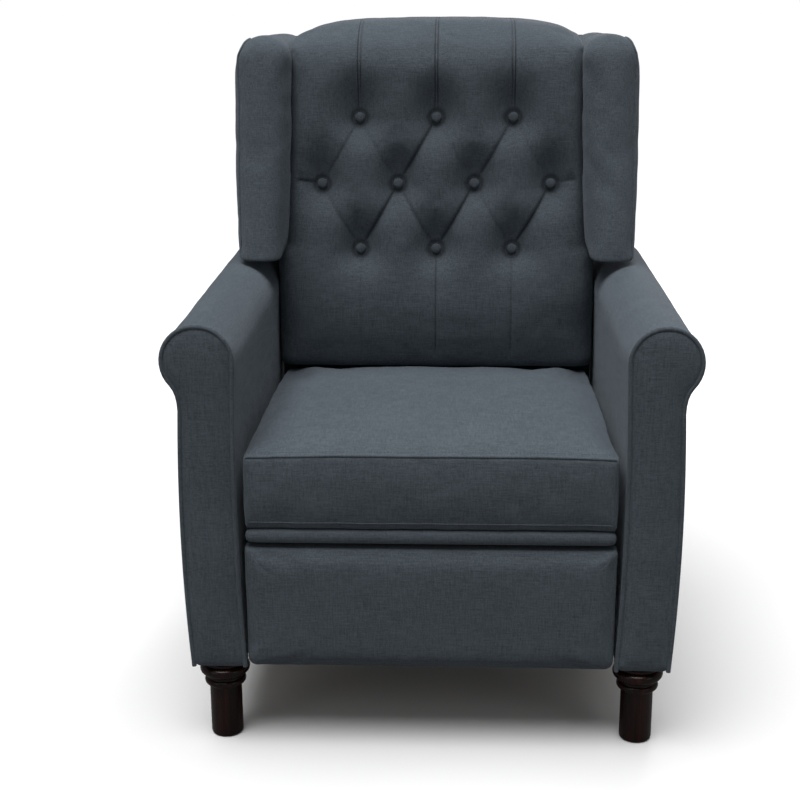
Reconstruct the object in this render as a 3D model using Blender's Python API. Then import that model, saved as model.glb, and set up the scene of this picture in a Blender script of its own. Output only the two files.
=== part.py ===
"""Push-back recliner armchair: rolled arms, button-tufted wing back and a fold-out footrest.

Metres, +Z up. The front faces -Y, +X is the right-hand side as seen from the front, and the
origin is the centre of the bounding box's lowest face. Depths are distances behind the front
of the arms. Every piece is one closed solid, and neighbours keep FIT_GAP between them.
"""
import bpy
import bmesh
from math import atan2, ceil, cos, hypot, pi, radians, sin
from mathutils import Vector

# ---------------------------------------------------------------- overall sizes
BACK_HEIGHT = 0.990
ARM_HEIGHT = 0.617
ARM_DEPTH = 0.660
SEAT_HEIGHT = 0.439
SEAT_HALF_WIDTH = 0.256
SEAT_DEPTH = 0.554
LEG_HEIGHT = 0.120
FIT_GAP = 0.0004

# ---------------------------------------------------------------- arms
ARM_SIDE_GAP = 0.006
ARM_INNER_X = SEAT_HALF_WIDTH + ARM_SIDE_GAP
ARM_BOTTOM = LEG_HEIGHT + 0.005
ARM_INNER_BULGE = 0.006
ROLL_RADIUS = 0.048
ROLL_OFFSET = 0.050
ARM_FOOT_THICKNESS = 0.073
ARM_BULGE_THICKNESS = 0.080
ARM_NECK_THICKNESS = 0.0755
ARM_NECK_DROP = 0.117
COVER_WALL = 0.008
ROLL_X = ARM_INNER_X + ROLL_OFFSET
ROLL_Z = ARM_HEIGHT - ROLL_RADIUS
HALF_WIDTH = ROLL_X + ROLL_RADIUS

ARM_BOARD = 0.018
ARM_BOARD_OFFSET = 0.017
ARM_CLEAT_WIDTH = 0.050
ARM_CLEAT_HEIGHT = 0.030
ARM_TOP_BOARD_REACH = 0.059
ARM_TOP_BOARD_DROP = 0.061

# ---------------------------------------------------------------- legs
LEG_X = ARM_INNER_X + 0.035
FRONT_LEG_DEPTH = 0.040
REAR_LEG_INSET = 0.045
LEG_COLLAR_RADIUS = 0.036
LEG_BEAD_RADIUS = 0.028
LEG_SHAFT_RADIUS = 0.021
LEG_COLLAR_HEIGHT = 0.022
LEG_BEAD_HEIGHT = 0.018

# ---------------------------------------------------------------- base rails
BASE_RAIL_THICKNESS = 0.018
BASE_RAIL_HEIGHT = 0.050
BASE_RAIL_BOTTOM = ARM_BOTTOM + 0.010
FRONT_RAIL_DEPTH = 0.275
REAR_RAIL_DEPTH = 0.600
APRON_THICKNESS = 0.012
APRON_DEPTH = 0.645
APRON_TOP = 0.300
DUST_COVER_THICKNESS = 0.0015

# ---------------------------------------------------------------- steel mechanism
STEEL = 0.003
LAYER_PITCH = 0.004
PIVOT_RADIUS = 0.004
PIVOT_CLEARANCE = 0.0004
RIVET_HEAD_RADIUS = 0.0065
RIVET_HEAD_HEIGHT = 0.0013
COLLAR_RADIUS = 0.0075
LINK_HALF_WIDTH = 0.010
LINK_CLEARANCE = 0.003
LINK_LAYER_X = SEAT_HALF_WIDTH - 0.0295
PLATE_LAYER_X = LINK_LAYER_X + LAYER_PITCH
UPPER_LAYER_X = LINK_LAYER_X - LAYER_PITCH
FRONT_LAYER_X = UPPER_LAYER_X - LAYER_PITCH
RAIL_LAYER_X = PLATE_LAYER_X + STEEL + 0.003

RECLINE = radians(30)
BACK_PIVOT_DEPTH = 0.600
BACK_PIVOT_Z = 0.445
SEAT_PIVOT_DROP = 0.1146
SEAT_PIVOT_Z = BACK_PIVOT_Z - SEAT_PIVOT_DROP
SEAT_TRAVEL_FORWARD = SEAT_PIVOT_DROP * sin(RECLINE)
SEAT_TRAVEL_UP = SEAT_PIVOT_DROP * (1 - cos(RECLINE))
SLIDE_PIN_DEPTHS = (0.360, 0.530)
SLIDE_PIN_Z = 0.216
MECHANISM_RAIL_HEIGHT = 0.085
MECHANISM_RAIL_END = 0.630

# The footrest linkage, as (depth, height) pairs with the seat at rest.
FRONT_LINK_PIVOT_Z = 0.277
REAR_LINK_STOWED = radians(-43.5)
REAR_LINK_OPEN = radians(-191.9)
UPPER_STOWED = (0.066, 0.2617)
REAR_LINK_PIVOT = (UPPER_STOWED[0] + 1.9 * LINK_HALF_WIDTH + LINK_CLEARANCE, 0.262)
LOWER_STOWED = (0.066, 0.2054)
UPPER_OPEN = (-0.255, 0.3444)
UPPER_LINK_TAIL = 0.050
FOOTREST_TURN = radians(-90)

# ---------------------------------------------------------------- seat
SEAT_FRONT_DEPTH = 0.004
SEAT_BOTTOM = 0.308
SEAT_BAND_TOP = 0.329
SEAT_BAND_THICKNESS = 0.016
SEAT_FRAME_FRONT = 0.040
SEAT_FRAME_REAR = 0.545
SEAT_FRAME_BAR = 0.022
SEAT_FRAME_HEIGHT = 0.040
SEAT_FRAME_HALF_WIDTH = PLATE_LAYER_X - FIT_GAP
SEAT_REAR_DROP = 0.018
SPRING_WIRE_RADIUS = 0.0018
SPRING_PITCH = 0.041
SPRING_SWING = 0.020
SEAT_SPRING_COUNT = 4
SEAT_RECESS_GAP = 0.0045

# ---------------------------------------------------------------- footrest
FOOTREST_TOP = 0.3025
FOOTREST_BOTTOM = LEG_HEIGHT
FOOTREST_FRONT_DEPTH = 0.002
FOOTREST_PAD_THICKNESS = 0.032
FOOTREST_BOARD_THICKNESS = 0.012
FOOTREST_SIDE_GAP = 0.0025
FOOTREST_BOARD_INSET = 0.012
FOOTREST_CORNER = 0.012

# ---------------------------------------------------------------- back
BACK_LEAN = 0.296
BACK_FRAME_BOTTOM = 0.345
BACK_FRAME_TOP = 0.930
BACK_FRAME_DEPTH = 0.612
BACK_FRAME_THICKNESS = 0.045
BACK_FRAME_BAR = 0.036
BACK_FRAME_HALF_WIDTH = LINK_LAYER_X - FIT_GAP
BACK_SPRING_HEIGHTS = (0.600, 0.780)
CUSHION_BOTTOM = 0.432
CUSHION_FRONT_DEPTH = 0.497
CUSHION_FRONT_LEAN = 0.12
CUSHION_FRAME_GAP = 0.0060
CUSHION_NOTCH_RISE = 0.030
CUSHION_LOW_HALF_WIDTH = SEAT_HALF_WIDTH - 0.004
CUSHION_HIGH_HALF_WIDTH = SEAT_HALF_WIDTH - 0.0295
OUTSIDE_BACK_THICKNESS = 0.008
BACK_FLANK_THICKNESS = 0.007
BUTTON_RADIUS = 0.0115
BUTTON_HEIGHT = 0.0065
BUTTON_SPACING = 0.125
BUTTON_ROWS = ((0.838, 3), (0.732, 4), (0.626, 3))

# ---------------------------------------------------------------- wings
WING_BOTTOM = ARM_HEIGHT + 0.003
WING_BOTTOM_RISE = 0.030
WING_TOP = 0.972
WING_FRONT_LOW_DEPTH = 0.423
WING_FRONT_HIGH_DEPTH = 0.512
WING_INNER_LOW = SEAT_HALF_WIDTH - 0.013
WING_INNER_HIGH = SEAT_HALF_WIDTH - 0.026
WING_OUTER_LOW = ROLL_X + 0.005
WING_OUTER_HIGH = ROLL_X + 0.011
WING_WALL = 0.014
WING_CORNER = 0.030
WING_BOARD = 0.015
WING_BOARD_INSET = 0.034

# The deepest point is the top of the outside back, and the origin is midway to it.
OVERALL_DEPTH = (BACK_FRAME_DEPTH + BACK_FRAME_THICKNESS / 2 + BACK_LEAN * (WING_TOP - BACK_FRAME_BOTTOM)
                 + FIT_GAP + OUTSIDE_BACK_THICKNESS)
FRONT_Y = -OVERALL_DEPTH / 2

# ---------------------------------------------------------------- finishes: colour, roughness, metallic
FINISHES = {
    "slate_fabric": ((0.055, 0.072, 0.088), 0.90, 0.0),
    "espresso_wood": ((0.030, 0.012, 0.008), 0.25, 0.0),
    "frame_wood": ((0.55, 0.38, 0.20), 0.65, 0.0),
    "black_steel": ((0.020, 0.020, 0.022), 0.45, 0.8),
    "spring_steel": ((0.45, 0.45, 0.46), 0.35, 1.0),
    "dust_cloth": ((0.010, 0.010, 0.012), 0.95, 0.0),
}


# ================================================================ tools
def back_off(depth):
    """World Y of a depth behind the front of the arms."""
    return FRONT_Y + depth


def make_material(name):
    colour, roughness, metallic = FINISHES[name]
    material = bpy.data.materials.new(name)
    material.use_nodes = True
    shader = material.node_tree.nodes["Principled BSDF"]
    shader.inputs["Base Color"].default_value = (*colour, 1)
    shader.inputs["Roughness"].default_value = roughness
    shader.inputs["Metallic"].default_value = metallic
    return material


def add_object(name, bm, finish):
    """Puts a bmesh into the scene with outward faces and a material of its own."""
    bmesh.ops.recalc_face_normals(bm, faces=bm.faces)
    mesh = bpy.data.meshes.new(name)
    bm.to_mesh(mesh)
    bm.free()
    obj = bpy.data.objects.new(name, mesh)
    bpy.context.collection.objects.link(obj)
    if finish:
        mesh.materials.append(make_material(finish))
        mesh.materials[0].name = name + "_" + finish
    return obj


def prism(name, outline, axis, start, end, finish):
    """Extrudes an outline along X (outline in depth, height), Y (x, height) or Z (x, depth)."""
    place = {
        "X": lambda a, b, t: (t, back_off(a), b),
        "Y": lambda a, b, t: (a, back_off(t), b),
        "Z": lambda a, b, t: (a, back_off(b), t),
    }[axis]
    bm = bmesh.new()
    near = [bm.verts.new(place(a, b, start)) for a, b in outline]
    far = [bm.verts.new(place(a, b, end)) for a, b in outline]
    bm.faces.new(near)
    bm.faces.new(far)
    for i in range(len(outline)):
        j = (i + 1) % len(outline)
        bm.faces.new((near[i], near[j], far[j], far[i]))
    return add_object(name, bm, finish)


def box(name, low, high, finish):
    """A block between two corners, given as (x, depth, height)."""
    outline = [(low[0], low[2]), (high[0], low[2]), (high[0], high[2]), (low[0], high[2])]
    return prism(name, outline, "Y", low[1], high[1], finish)


def turned(name, profile, place, finish, steps=24, axis="Z"):
    """Turns a closed (radius, height) profile, both ends capped, round an axis through place."""
    bm = bmesh.new()
    rings = []
    for radius, height in profile:
        ring = []
        for k in range(steps):
            angle = 2 * pi * k / steps
            u, v = radius * cos(angle), radius * sin(angle)
            ring.append(bm.verts.new((height, u, v) if axis == "X" else (u, v, height)))
        rings.append(ring)
    for lower, upper in zip(rings, rings[1:]):
        for k in range(steps):
            j = (k + 1) % steps
            bm.faces.new((lower[k], lower[j], upper[j], upper[k]))
    bm.faces.new(rings[0])
    bm.faces.new(rings[-1])
    obj = add_object(name, bm, finish)
    obj.location = place
    return obj


def arc(centre, radius, start, end, steps):
    """Points on an arc, from one angle to another, in degrees."""
    return [(centre[0] + radius * cos(radians(start + (end - start) * k / steps)),
             centre[1] + radius * sin(radians(start + (end - start) * k / steps)))
            for k in range(steps + 1)]


def curve_through(start, bend, end, steps):
    """Points on a quadratic curve, without its first point."""
    points = []
    for k in range(1, steps + 1):
        t = k / steps
        a, b, c = (1 - t) ** 2, 2 * t * (1 - t), t * t
        points.append((a * start[0] + b * bend[0] + c * end[0],
                       a * start[1] + b * bend[1] + c * end[1]))
    return points


def cutter(obj):
    obj.hide_render = True
    obj.display_type = "WIRE"
    return obj


def combine(obj, other, operation):
    """Adds an exact Boolean with another object, which only shapes this one."""
    modifier = obj.modifiers.new(other.name, "BOOLEAN")
    modifier.operation = operation
    modifier.solver = "EXACT"
    modifier.object = cutter(other)


def soften(obj, width, segments=2, angle=40):
    """Rounds the edges that turn more than an angle, in degrees."""
    modifier = obj.modifiers.new("soften", "BEVEL")
    modifier.width = width
    modifier.segments = segments
    modifier.limit_method = "ANGLE"
    modifier.angle_limit = radians(angle)
    return obj


def smooth(obj, angle=35):
    obj.data.shade_smooth()
    obj.data.set_sharp_from_angle(angle=radians(angle))
    return obj


def hang_on(objects, name, place):
    """Parents moving pieces to an empty on their joint's axis."""
    empty = bpy.data.objects.new(name, None)
    empty.location = place
    bpy.context.collection.objects.link(empty)
    for obj in objects:
        obj.parent = empty
        obj.location = obj.location - empty.location


def side_name(side):
    return "left" if side < 0 else "right"


# ================================================================ linkage geometry
def on_ray(centre, radius, angle):
    return (centre[0] + radius * cos(angle), centre[1] + radius * sin(angle))


def pivot_radius(centre, stowed, opened):
    """Radius on the rear link of a pivot that keeps its distance to a point in both positions."""
    reach_open = (centre[0] - opened[0]) ** 2 + (centre[1] - opened[1]) ** 2
    reach_stowed = (centre[0] - stowed[0]) ** 2 + (centre[1] - stowed[1]) ** 2
    along_stowed = (cos(REAR_LINK_STOWED) * (centre[0] - stowed[0])
                    + sin(REAR_LINK_STOWED) * (centre[1] - stowed[1]))
    along_open = (cos(REAR_LINK_OPEN) * (centre[0] - opened[0])
                  + sin(REAR_LINK_OPEN) * (centre[1] - opened[1]))
    return (reach_open - reach_stowed) / (2 * (along_stowed - along_open))


def turn_about(centre, point, angle):
    a, b = point[0] - centre[0], point[1] - centre[1]
    return (centre[0] + a * cos(angle) - b * sin(angle), centre[1] + a * sin(angle) + b * cos(angle))


def bearing(start, end):
    return atan2(end[1] - start[1], end[0] - start[0])


def footrest_linkage():
    """Pivot places at rest and open, worked out so that both loops close in both positions."""
    shift = (UPPER_OPEN[0] - UPPER_STOWED[0], UPPER_OPEN[1] - UPPER_STOWED[1])
    lower_moved = (LOWER_STOWED[0] + shift[0], LOWER_STOWED[1] + shift[1])
    lower_open = turn_about(UPPER_OPEN, lower_moved, FOOTREST_TURN)
    centre = REAR_LINK_PIVOT
    upper_radius = pivot_radius(centre, UPPER_STOWED, UPPER_OPEN)
    lower_radius = pivot_radius(centre, LOWER_STOWED, lower_open)
    pins = {"rear": (centre, centre), "upper_end": (UPPER_STOWED, UPPER_OPEN),
            "lower_end": (LOWER_STOWED, lower_open)}
    pins["upper_root"] = (on_ray(centre, upper_radius, REAR_LINK_STOWED),
                          on_ray(centre, upper_radius, REAR_LINK_OPEN))
    pins["lower_root"] = (on_ray(centre, lower_radius, REAR_LINK_STOWED),
                          on_ray(centre, lower_radius, REAR_LINK_OPEN))
    pins["tail"] = tuple(on_ray(root, -UPPER_LINK_TAIL, bearing(root, end))
                         for root, end in zip(pins["upper_root"], pins["upper_end"]))
    tail_stowed, tail_open = pins["tail"]
    middle = ((tail_stowed[0] + tail_open[0]) / 2, (tail_stowed[1] + tail_open[1]) / 2)
    rise = (tail_open[1] - tail_stowed[1]) / (tail_open[0] - tail_stowed[0])
    front = (middle[0] - (FRONT_LINK_PIVOT_Z - middle[1]) * rise, FRONT_LINK_PIVOT_Z)
    pins["front"] = (front, front)
    return pins


PINS = footrest_linkage()


# ================================================================ pieces of the mechanism
def bar_outline(start, end, half_width, steps=8):
    """A flat bar with round ends between two pivots."""
    heading = atan2(end[1] - start[1], end[0] - start[0]) * 180 / pi
    return (arc(end, half_width, heading - 90, heading + 90, steps)
            + arc(start, half_width, heading + 90, heading + 270, steps))


def plate(name, outline, side, layer, finish="black_steel"):
    return prism(name, outline, "X", side * layer, side * (layer + STEEL), finish)


def pin_hole(obj, pivot, side, layer, label, travel=(0, 0)):
    """Cuts a pivot hole, or a slot along travel, through a plate in a layer."""
    radius = PIVOT_RADIUS + PIVOT_CLEARANCE
    if hypot(*travel) < 1e-6:
        outline = arc(pivot, radius, 0, 330, 11)
    else:
        outline = bar_outline(pivot, (pivot[0] + travel[0], pivot[1] + travel[1]), radius)
    hole = prism(obj.name + label, outline, "X", side * (layer - STEEL), side * (layer + 2 * STEEL), None)
    combine(obj, hole, "DIFFERENCE")


def pin_profile(start, end, collar_end):
    """A pivot from start to end with a head at end, and a collar as far as collar_end."""
    outward = 1 if end > start else -1
    head = end + outward * RIVET_HEAD_HEIGHT
    profile = [(PIVOT_RADIUS, start)]
    if collar_end is not None:
        profile = [(COLLAR_RADIUS, start), (COLLAR_RADIUS, collar_end), (PIVOT_RADIUS, collar_end)]
    return profile + [(PIVOT_RADIUS, end), (RIVET_HEAD_RADIUS, end), (RIVET_HEAD_RADIUS, head)]


def add_pin(obj, pivot, side, start, end, label, collar_end=None):
    """Joins a headed pivot to a plate, from inside the plate at start to its head at end."""
    profile = [(radius, side * x) for radius, x in pin_profile(start, end, collar_end)]
    pin = turned(obj.name + label, profile, (0, back_off(pivot[0]), pivot[1]), None, 12, "X")
    combine(obj, pin, "UNION")


def add_rivet_head(obj, pivot, side, face, outward, label):
    """A closed rivet head on the plate's face, at a pivot that stays open."""
    profile = [(RIVET_HEAD_RADIUS, side * (face - outward * STEEL / 2)),
               (RIVET_HEAD_RADIUS, side * (face + outward * RIVET_HEAD_HEIGHT * 0.6)),
               (RIVET_HEAD_RADIUS * 0.7, side * (face + outward * RIVET_HEAD_HEIGHT))]
    head = turned(obj.name + label, profile, (0, back_off(pivot[0]), pivot[1]), None, 12, "X")
    combine(obj, head, "UNION")


def out_of(layer):
    """Where the head of a pivot begins, past the outer face of a layer."""
    return layer + STEEL + PIVOT_CLEARANCE


def build_rear_link(side):
    start, root, lower = (PINS[k][0] for k in ("rear", "upper_root", "lower_root"))
    link = plate(side_name(side) + "_rear_link", bar_outline(start, lower, LINK_HALF_WIDTH), side,
                 LINK_LAYER_X)
    inside = LINK_LAYER_X + STEEL / 2
    add_pin(link, start, side, inside, out_of(PLATE_LAYER_X), "_seat_pin")
    add_pin(link, lower, side, inside, out_of(PLATE_LAYER_X), "_lower_pin")
    add_pin(link, root, side, inside, UPPER_LAYER_X - PIVOT_CLEARANCE, "_upper_pin")
    return link


def build_front_link(side):
    start, tail = PINS["front"][0], PINS["tail"][0]
    link = plate(side_name(side) + "_front_link", bar_outline(start, tail, LINK_HALF_WIDTH * 0.9), side,
                 FRONT_LAYER_X)
    add_pin(link, start, side, FRONT_LAYER_X + STEEL / 2, out_of(PLATE_LAYER_X), "_seat_pin",
            collar_end=PLATE_LAYER_X - PIVOT_CLEARANCE)
    add_rivet_head(link, tail, side, FRONT_LAYER_X, -1, "_tail_rivet")
    return link


def build_upper_link(side):
    tail, root, end = (PINS[k][0] for k in ("tail", "upper_root", "upper_end"))
    link = plate(side_name(side) + "_upper_link", bar_outline(tail, end, LINK_HALF_WIDTH * 0.9), side,
                 UPPER_LAYER_X)
    pin_hole(link, root, side, UPPER_LAYER_X, "_root_hole")
    pin_hole(link, end, side, UPPER_LAYER_X, "_end_hole")
    return link


def build_lower_link(side):
    root, end = PINS["lower_root"][0], PINS["lower_end"][0]
    link = plate(side_name(side) + "_lower_link", bar_outline(root, end, LINK_HALF_WIDTH * 0.9), side,
                 PLATE_LAYER_X)
    pin_hole(link, root, side, PLATE_LAYER_X, "_root_hole")
    add_rivet_head(link, end, side, PLATE_LAYER_X + STEEL, 1, "_end_rivet")
    return link


def build_footrest_bracket(side):
    """The footrest's side bracket: a plate for the links and a flange screwed to the board."""
    board_back = FOOTREST_FRONT_DEPTH + FOOTREST_PAD_THICKNESS + FOOTREST_BOARD_THICKNESS + 2 * FIT_GAP
    upper, lower = PINS["upper_end"][0], PINS["lower_end"][0]
    half = LINK_HALF_WIDTH * 0.9
    outline = [(board_back, lower[1] - 0.035), (board_back + STEEL, lower[1] - 0.035)]
    outline += arc(lower, half, -60, 0, 4)
    outline += arc(upper, half, 0, 90, 5)
    outline += [(board_back, upper[1] + half)]
    bracket = plate(side_name(side) + "_footrest_bracket", outline, side, LINK_LAYER_X)
    flange = box(bracket.name + "_flange", (side * (LINK_LAYER_X + STEEL), board_back, lower[1] - 0.035),
                 (side * (LINK_LAYER_X - 0.030), board_back + STEEL, upper[1] + half), None)
    combine(bracket, flange, "UNION")
    add_pin(bracket, upper, side, LINK_LAYER_X + STEEL / 2, UPPER_LAYER_X - PIVOT_CLEARANCE, "_upper_pin")
    return bracket


def build_seat_plate(side):
    """The side plate that carries the seat frame, the footrest links and the slide pins."""
    front = REAR_LINK_PIVOT[0] - 0.016
    top = SEAT_BOTTOM + SEAT_FRAME_HEIGHT - 0.008
    rear = BACK_PIVOT_DEPTH + 0.016
    low = SLIDE_PIN_Z - 0.012
    step = SLIDE_PIN_DEPTHS[0] - 0.045
    outline = [(front, REAR_LINK_PIVOT[1] - 0.016), (step - 0.040, REAR_LINK_PIVOT[1] - 0.016),
               (step, low), (SLIDE_PIN_DEPTHS[1] + 0.020, low), (rear, SEAT_PIVOT_Z - 0.020),
               (rear, SEAT_PIVOT_Z + 0.012), (rear - 0.004, SEAT_PIVOT_Z + 0.016),
               (BACK_PIVOT_DEPTH - 0.016, SEAT_PIVOT_Z + 0.016), (SEAT_DEPTH + 0.008, SEAT_BOTTOM - 0.004),
               (SEAT_FRAME_REAR, SEAT_BOTTOM - 0.004), (SEAT_FRAME_REAR, top), (front + 0.020, top),
               (front, REAR_LINK_PIVOT[1] + 0.018)]
    piece = plate(side_name(side) + "_seat_plate", outline, side, PLATE_LAYER_X)
    pin_hole(piece, REAR_LINK_PIVOT, side, PLATE_LAYER_X, "_rear_hole")
    pin_hole(piece, PINS["front"][0], side, PLATE_LAYER_X, "_front_hole")
    sag = SEAT_PIVOT_DROP * (1 - cos(RECLINE / 2))
    play = (-(SEAT_PIVOT_DROP * sin(RECLINE / 2) - SEAT_TRAVEL_FORWARD / 2), sag - SEAT_TRAVEL_UP / 2)
    pin_hole(piece, (BACK_PIVOT_DEPTH, SEAT_PIVOT_Z), side, PLATE_LAYER_X, "_back_slot", play)
    for number, depth in enumerate(SLIDE_PIN_DEPTHS):
        add_pin(piece, (depth, SLIDE_PIN_Z), side, PLATE_LAYER_X + STEEL / 2, out_of(RAIL_LAYER_X),
                "_slide_pin_%d" % number)
    return piece


def build_mechanism_rail(side):
    """The fixed rail: slots for the seat's slide pins and an upright for the back's pivot."""
    bottom = BASE_RAIL_BOTTOM + BASE_RAIL_HEIGHT + FIT_GAP
    top = bottom + MECHANISM_RAIL_HEIGHT
    front = SLIDE_PIN_DEPTHS[0] - SEAT_TRAVEL_FORWARD - 0.030
    upright = 0.016
    pivot = (BACK_PIVOT_DEPTH, BACK_PIVOT_Z)
    outline = [(front, bottom), (MECHANISM_RAIL_END, bottom), (MECHANISM_RAIL_END, top)]
    outline += [(BACK_PIVOT_DEPTH + upright, top + 0.020)]
    outline += arc(pivot, upright, 0, 180, 8)
    outline += [(BACK_PIVOT_DEPTH - upright, top + 0.020), (BACK_PIVOT_DEPTH - upright - 0.015, top),
                (front, top)]
    rail = plate(side_name(side) + "_mechanism_rail", outline, side, RAIL_LAYER_X)
    foot = box(rail.name + "_foot", (side * (RAIL_LAYER_X + STEEL / 2), front, bottom),
               (side * (RAIL_LAYER_X + 0.018), MECHANISM_RAIL_END, bottom + STEEL), None)
    combine(rail, foot, "UNION")
    for number, depth in enumerate(SLIDE_PIN_DEPTHS):
        pin_hole(rail, (depth, SLIDE_PIN_Z), side, RAIL_LAYER_X, "_slot_%d" % number,
                 (-SEAT_TRAVEL_FORWARD, SEAT_TRAVEL_UP))
    pin_hole(rail, pivot, side, RAIL_LAYER_X, "_pivot_hole")
    return rail


def build_back_bracket(side):
    """Joins the back frame to the fixed pivot above and the seat plate's slot below."""
    pivot, low = (BACK_PIVOT_DEPTH, BACK_PIVOT_Z), (BACK_PIVOT_DEPTH, SEAT_PIVOT_Z)
    half = 0.014
    knee = BACK_PIVOT_Z + CUSHION_NOTCH_RISE
    top = BACK_PIVOT_Z + 0.115
    outline = arc(low, half, 180, 360, 8)
    outline += [(BACK_PIVOT_DEPTH + half, BACK_PIVOT_Z), (frame_rear(top) - 0.006, top),
                (frame_front(top) + 0.004, top), (frame_front(knee) + 0.004, knee),
                (BACK_PIVOT_DEPTH - half, BACK_PIVOT_Z + 0.004)]
    bracket = plate(side_name(side) + "_back_bracket", outline, side, LINK_LAYER_X)
    inside = LINK_LAYER_X + STEEL / 2
    add_pin(bracket, pivot, side, inside, out_of(RAIL_LAYER_X), "_pivot",
            collar_end=RAIL_LAYER_X - PIVOT_CLEARANCE)
    add_pin(bracket, low, side, inside, out_of(PLATE_LAYER_X), "_seat_pin")
    return bracket


# ================================================================ base
def arm_section(side, inset):
    """The arm's front outline, drawn inwards by inset, with its foot left open when inset."""
    bottom = ARM_BOTTOM if inset == 0 else ARM_BOTTOM - COVER_WALL
    foot_in = (ARM_INNER_X + inset, bottom)
    foot_out = (ARM_INNER_X + ARM_FOOT_THICKNESS - inset, bottom)
    neck = (ARM_INNER_X + ARM_NECK_THICKNESS - inset, ARM_HEIGHT - ARM_NECK_DROP)
    bulge = (ARM_INNER_X + 2 * ARM_BULGE_THICKNESS - (ARM_FOOT_THICKNESS + ARM_NECK_THICKNESS) / 2 - inset,
             (ARM_BOTTOM + neck[1]) / 2)
    roll = arc((ROLL_X, ROLL_Z), ROLL_RADIUS - inset, 180, -42, 14)
    inner_bend = (ARM_INNER_X + 2 * ARM_INNER_BULGE + inset, (ARM_BOTTOM + ROLL_Z) / 2)
    outline = [foot_in] + curve_through(foot_in, inner_bend, roll[0], 6)[:-1] + roll
    outline += curve_through(roll[-1], (neck[0], roll[-1][1] - 0.012), neck, 3)
    outline += curve_through(neck, bulge, foot_out, 7)
    return [(side * x, z) for x, z in outline]


def build_arm_cover(side):
    cover = prism(side_name(side) + "_arm_cover", arm_section(side, 0), "Y", 0, ARM_DEPTH, "slate_fabric")
    smooth(cover)
    hollow = prism(cover.name + "_hollow", arm_section(side, COVER_WALL), "Y", COVER_WALL,
                   ARM_DEPTH - COVER_WALL, None)
    combine(cover, hollow, "DIFFERENCE")
    return cover


def build_arm_frame(side):
    """Plywood side panel with a bottom cleat for the legs and a board under the roll."""
    board_in = ARM_INNER_X + ARM_BOARD_OFFSET
    board_out = board_in + ARM_BOARD
    cleat_in = ARM_INNER_X + COVER_WALL + 0.002
    cleat_out = cleat_in + ARM_CLEAT_WIDTH
    bottom = LEG_HEIGHT + FIT_GAP
    cleat_top = bottom + ARM_CLEAT_HEIGHT
    top = ARM_HEIGHT - ARM_TOP_BOARD_DROP
    reach = board_in + ARM_TOP_BOARD_REACH
    outline = [(cleat_in, bottom), (cleat_out, bottom), (cleat_out, cleat_top), (board_out, cleat_top),
               (board_out, top - ARM_BOARD), (reach, top - ARM_BOARD), (reach, top), (board_in, top),
               (board_in, cleat_top), (cleat_in, cleat_top)]
    margin = COVER_WALL + 0.004
    return prism(side_name(side) + "_arm_frame", [(side * x, z) for x, z in outline], "Y", margin,
                 ARM_DEPTH - margin, "frame_wood")


def build_leg(side, end, depth):
    """A turned leg: a wide collar, a smaller bead and a straight shaft with a round foot."""
    bead_top = LEG_HEIGHT - LEG_COLLAR_HEIGHT
    shaft_top = bead_top - LEG_BEAD_HEIGHT
    foot = 0.003
    profile = [(LEG_SHAFT_RADIUS - foot, 0), (LEG_SHAFT_RADIUS, foot), (LEG_SHAFT_RADIUS, shaft_top - 0.002)]
    profile += [(LEG_SHAFT_RADIUS + 0.001, shaft_top)]
    for low, high, radius in ((shaft_top, bead_top, LEG_BEAD_RADIUS), (bead_top, LEG_HEIGHT, LEG_COLLAR_RADIUS)):
        half = (high - low) / 2
        waist = radius - half * 0.75
        profile += [(waist + (radius - waist) * cos(radians(a)), (low + high) / 2 + half * sin(radians(a)))
                    for a in (-80, -50, -20, 20, 50, 80)]
    profile[-1] = (profile[-1][0], LEG_HEIGHT)
    place = (side * LEG_X, back_off(depth), 0)
    leg = turned("%s_%s_leg" % (end, side_name(side)), profile, place, "espresso_wood", 32)
    return smooth(leg, 50)


def build_base():
    inner = ARM_INNER_X - FIT_GAP
    rail_top = BASE_RAIL_BOTTOM + BASE_RAIL_HEIGHT
    pieces = []
    for side in (-1, 1):
        pieces += [build_arm_cover(side), build_arm_frame(side), build_mechanism_rail(side)]
        pieces += [build_leg(side, "front", FRONT_LEG_DEPTH), build_leg(side, "rear", ARM_DEPTH - REAR_LEG_INSET)]
    for name, depth in (("front_rail", FRONT_RAIL_DEPTH), ("rear_rail", REAR_RAIL_DEPTH)):
        rail = box(name, (-inner, depth, BASE_RAIL_BOTTOM), (inner, depth + BASE_RAIL_THICKNESS, rail_top),
                   "frame_wood")
        pieces.append(rail)
    apron = box("rear_apron", (-inner, APRON_DEPTH, BASE_RAIL_BOTTOM),
                (inner, APRON_DEPTH + APRON_THICKNESS, APRON_TOP), "slate_fabric")
    dust_top = BASE_RAIL_BOTTOM - FIT_GAP
    dust = box("dust_cover", (-inner, FRONT_RAIL_DEPTH, dust_top - DUST_COVER_THICKNESS),
               (inner, APRON_DEPTH + APRON_THICKNESS, dust_top), "dust_cloth")
    return pieces + [apron, dust]


# ================================================================ seat
def build_seat_frame():
    top = SEAT_BOTTOM + SEAT_FRAME_HEIGHT
    frame = box("seat_frame", (-SEAT_FRAME_HALF_WIDTH, SEAT_FRAME_FRONT, SEAT_BOTTOM),
                (SEAT_FRAME_HALF_WIDTH, SEAT_FRAME_REAR, top), "frame_wood")
    bar = SEAT_FRAME_BAR
    window = box("seat_frame_window", (bar - SEAT_FRAME_HALF_WIDTH, SEAT_FRAME_FRONT + bar, SEAT_BOTTOM - bar),
                 (SEAT_FRAME_HALF_WIDTH - bar, SEAT_FRAME_REAR - bar, top + bar), None)
    combine(frame, window, "DIFFERENCE")
    return frame


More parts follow.
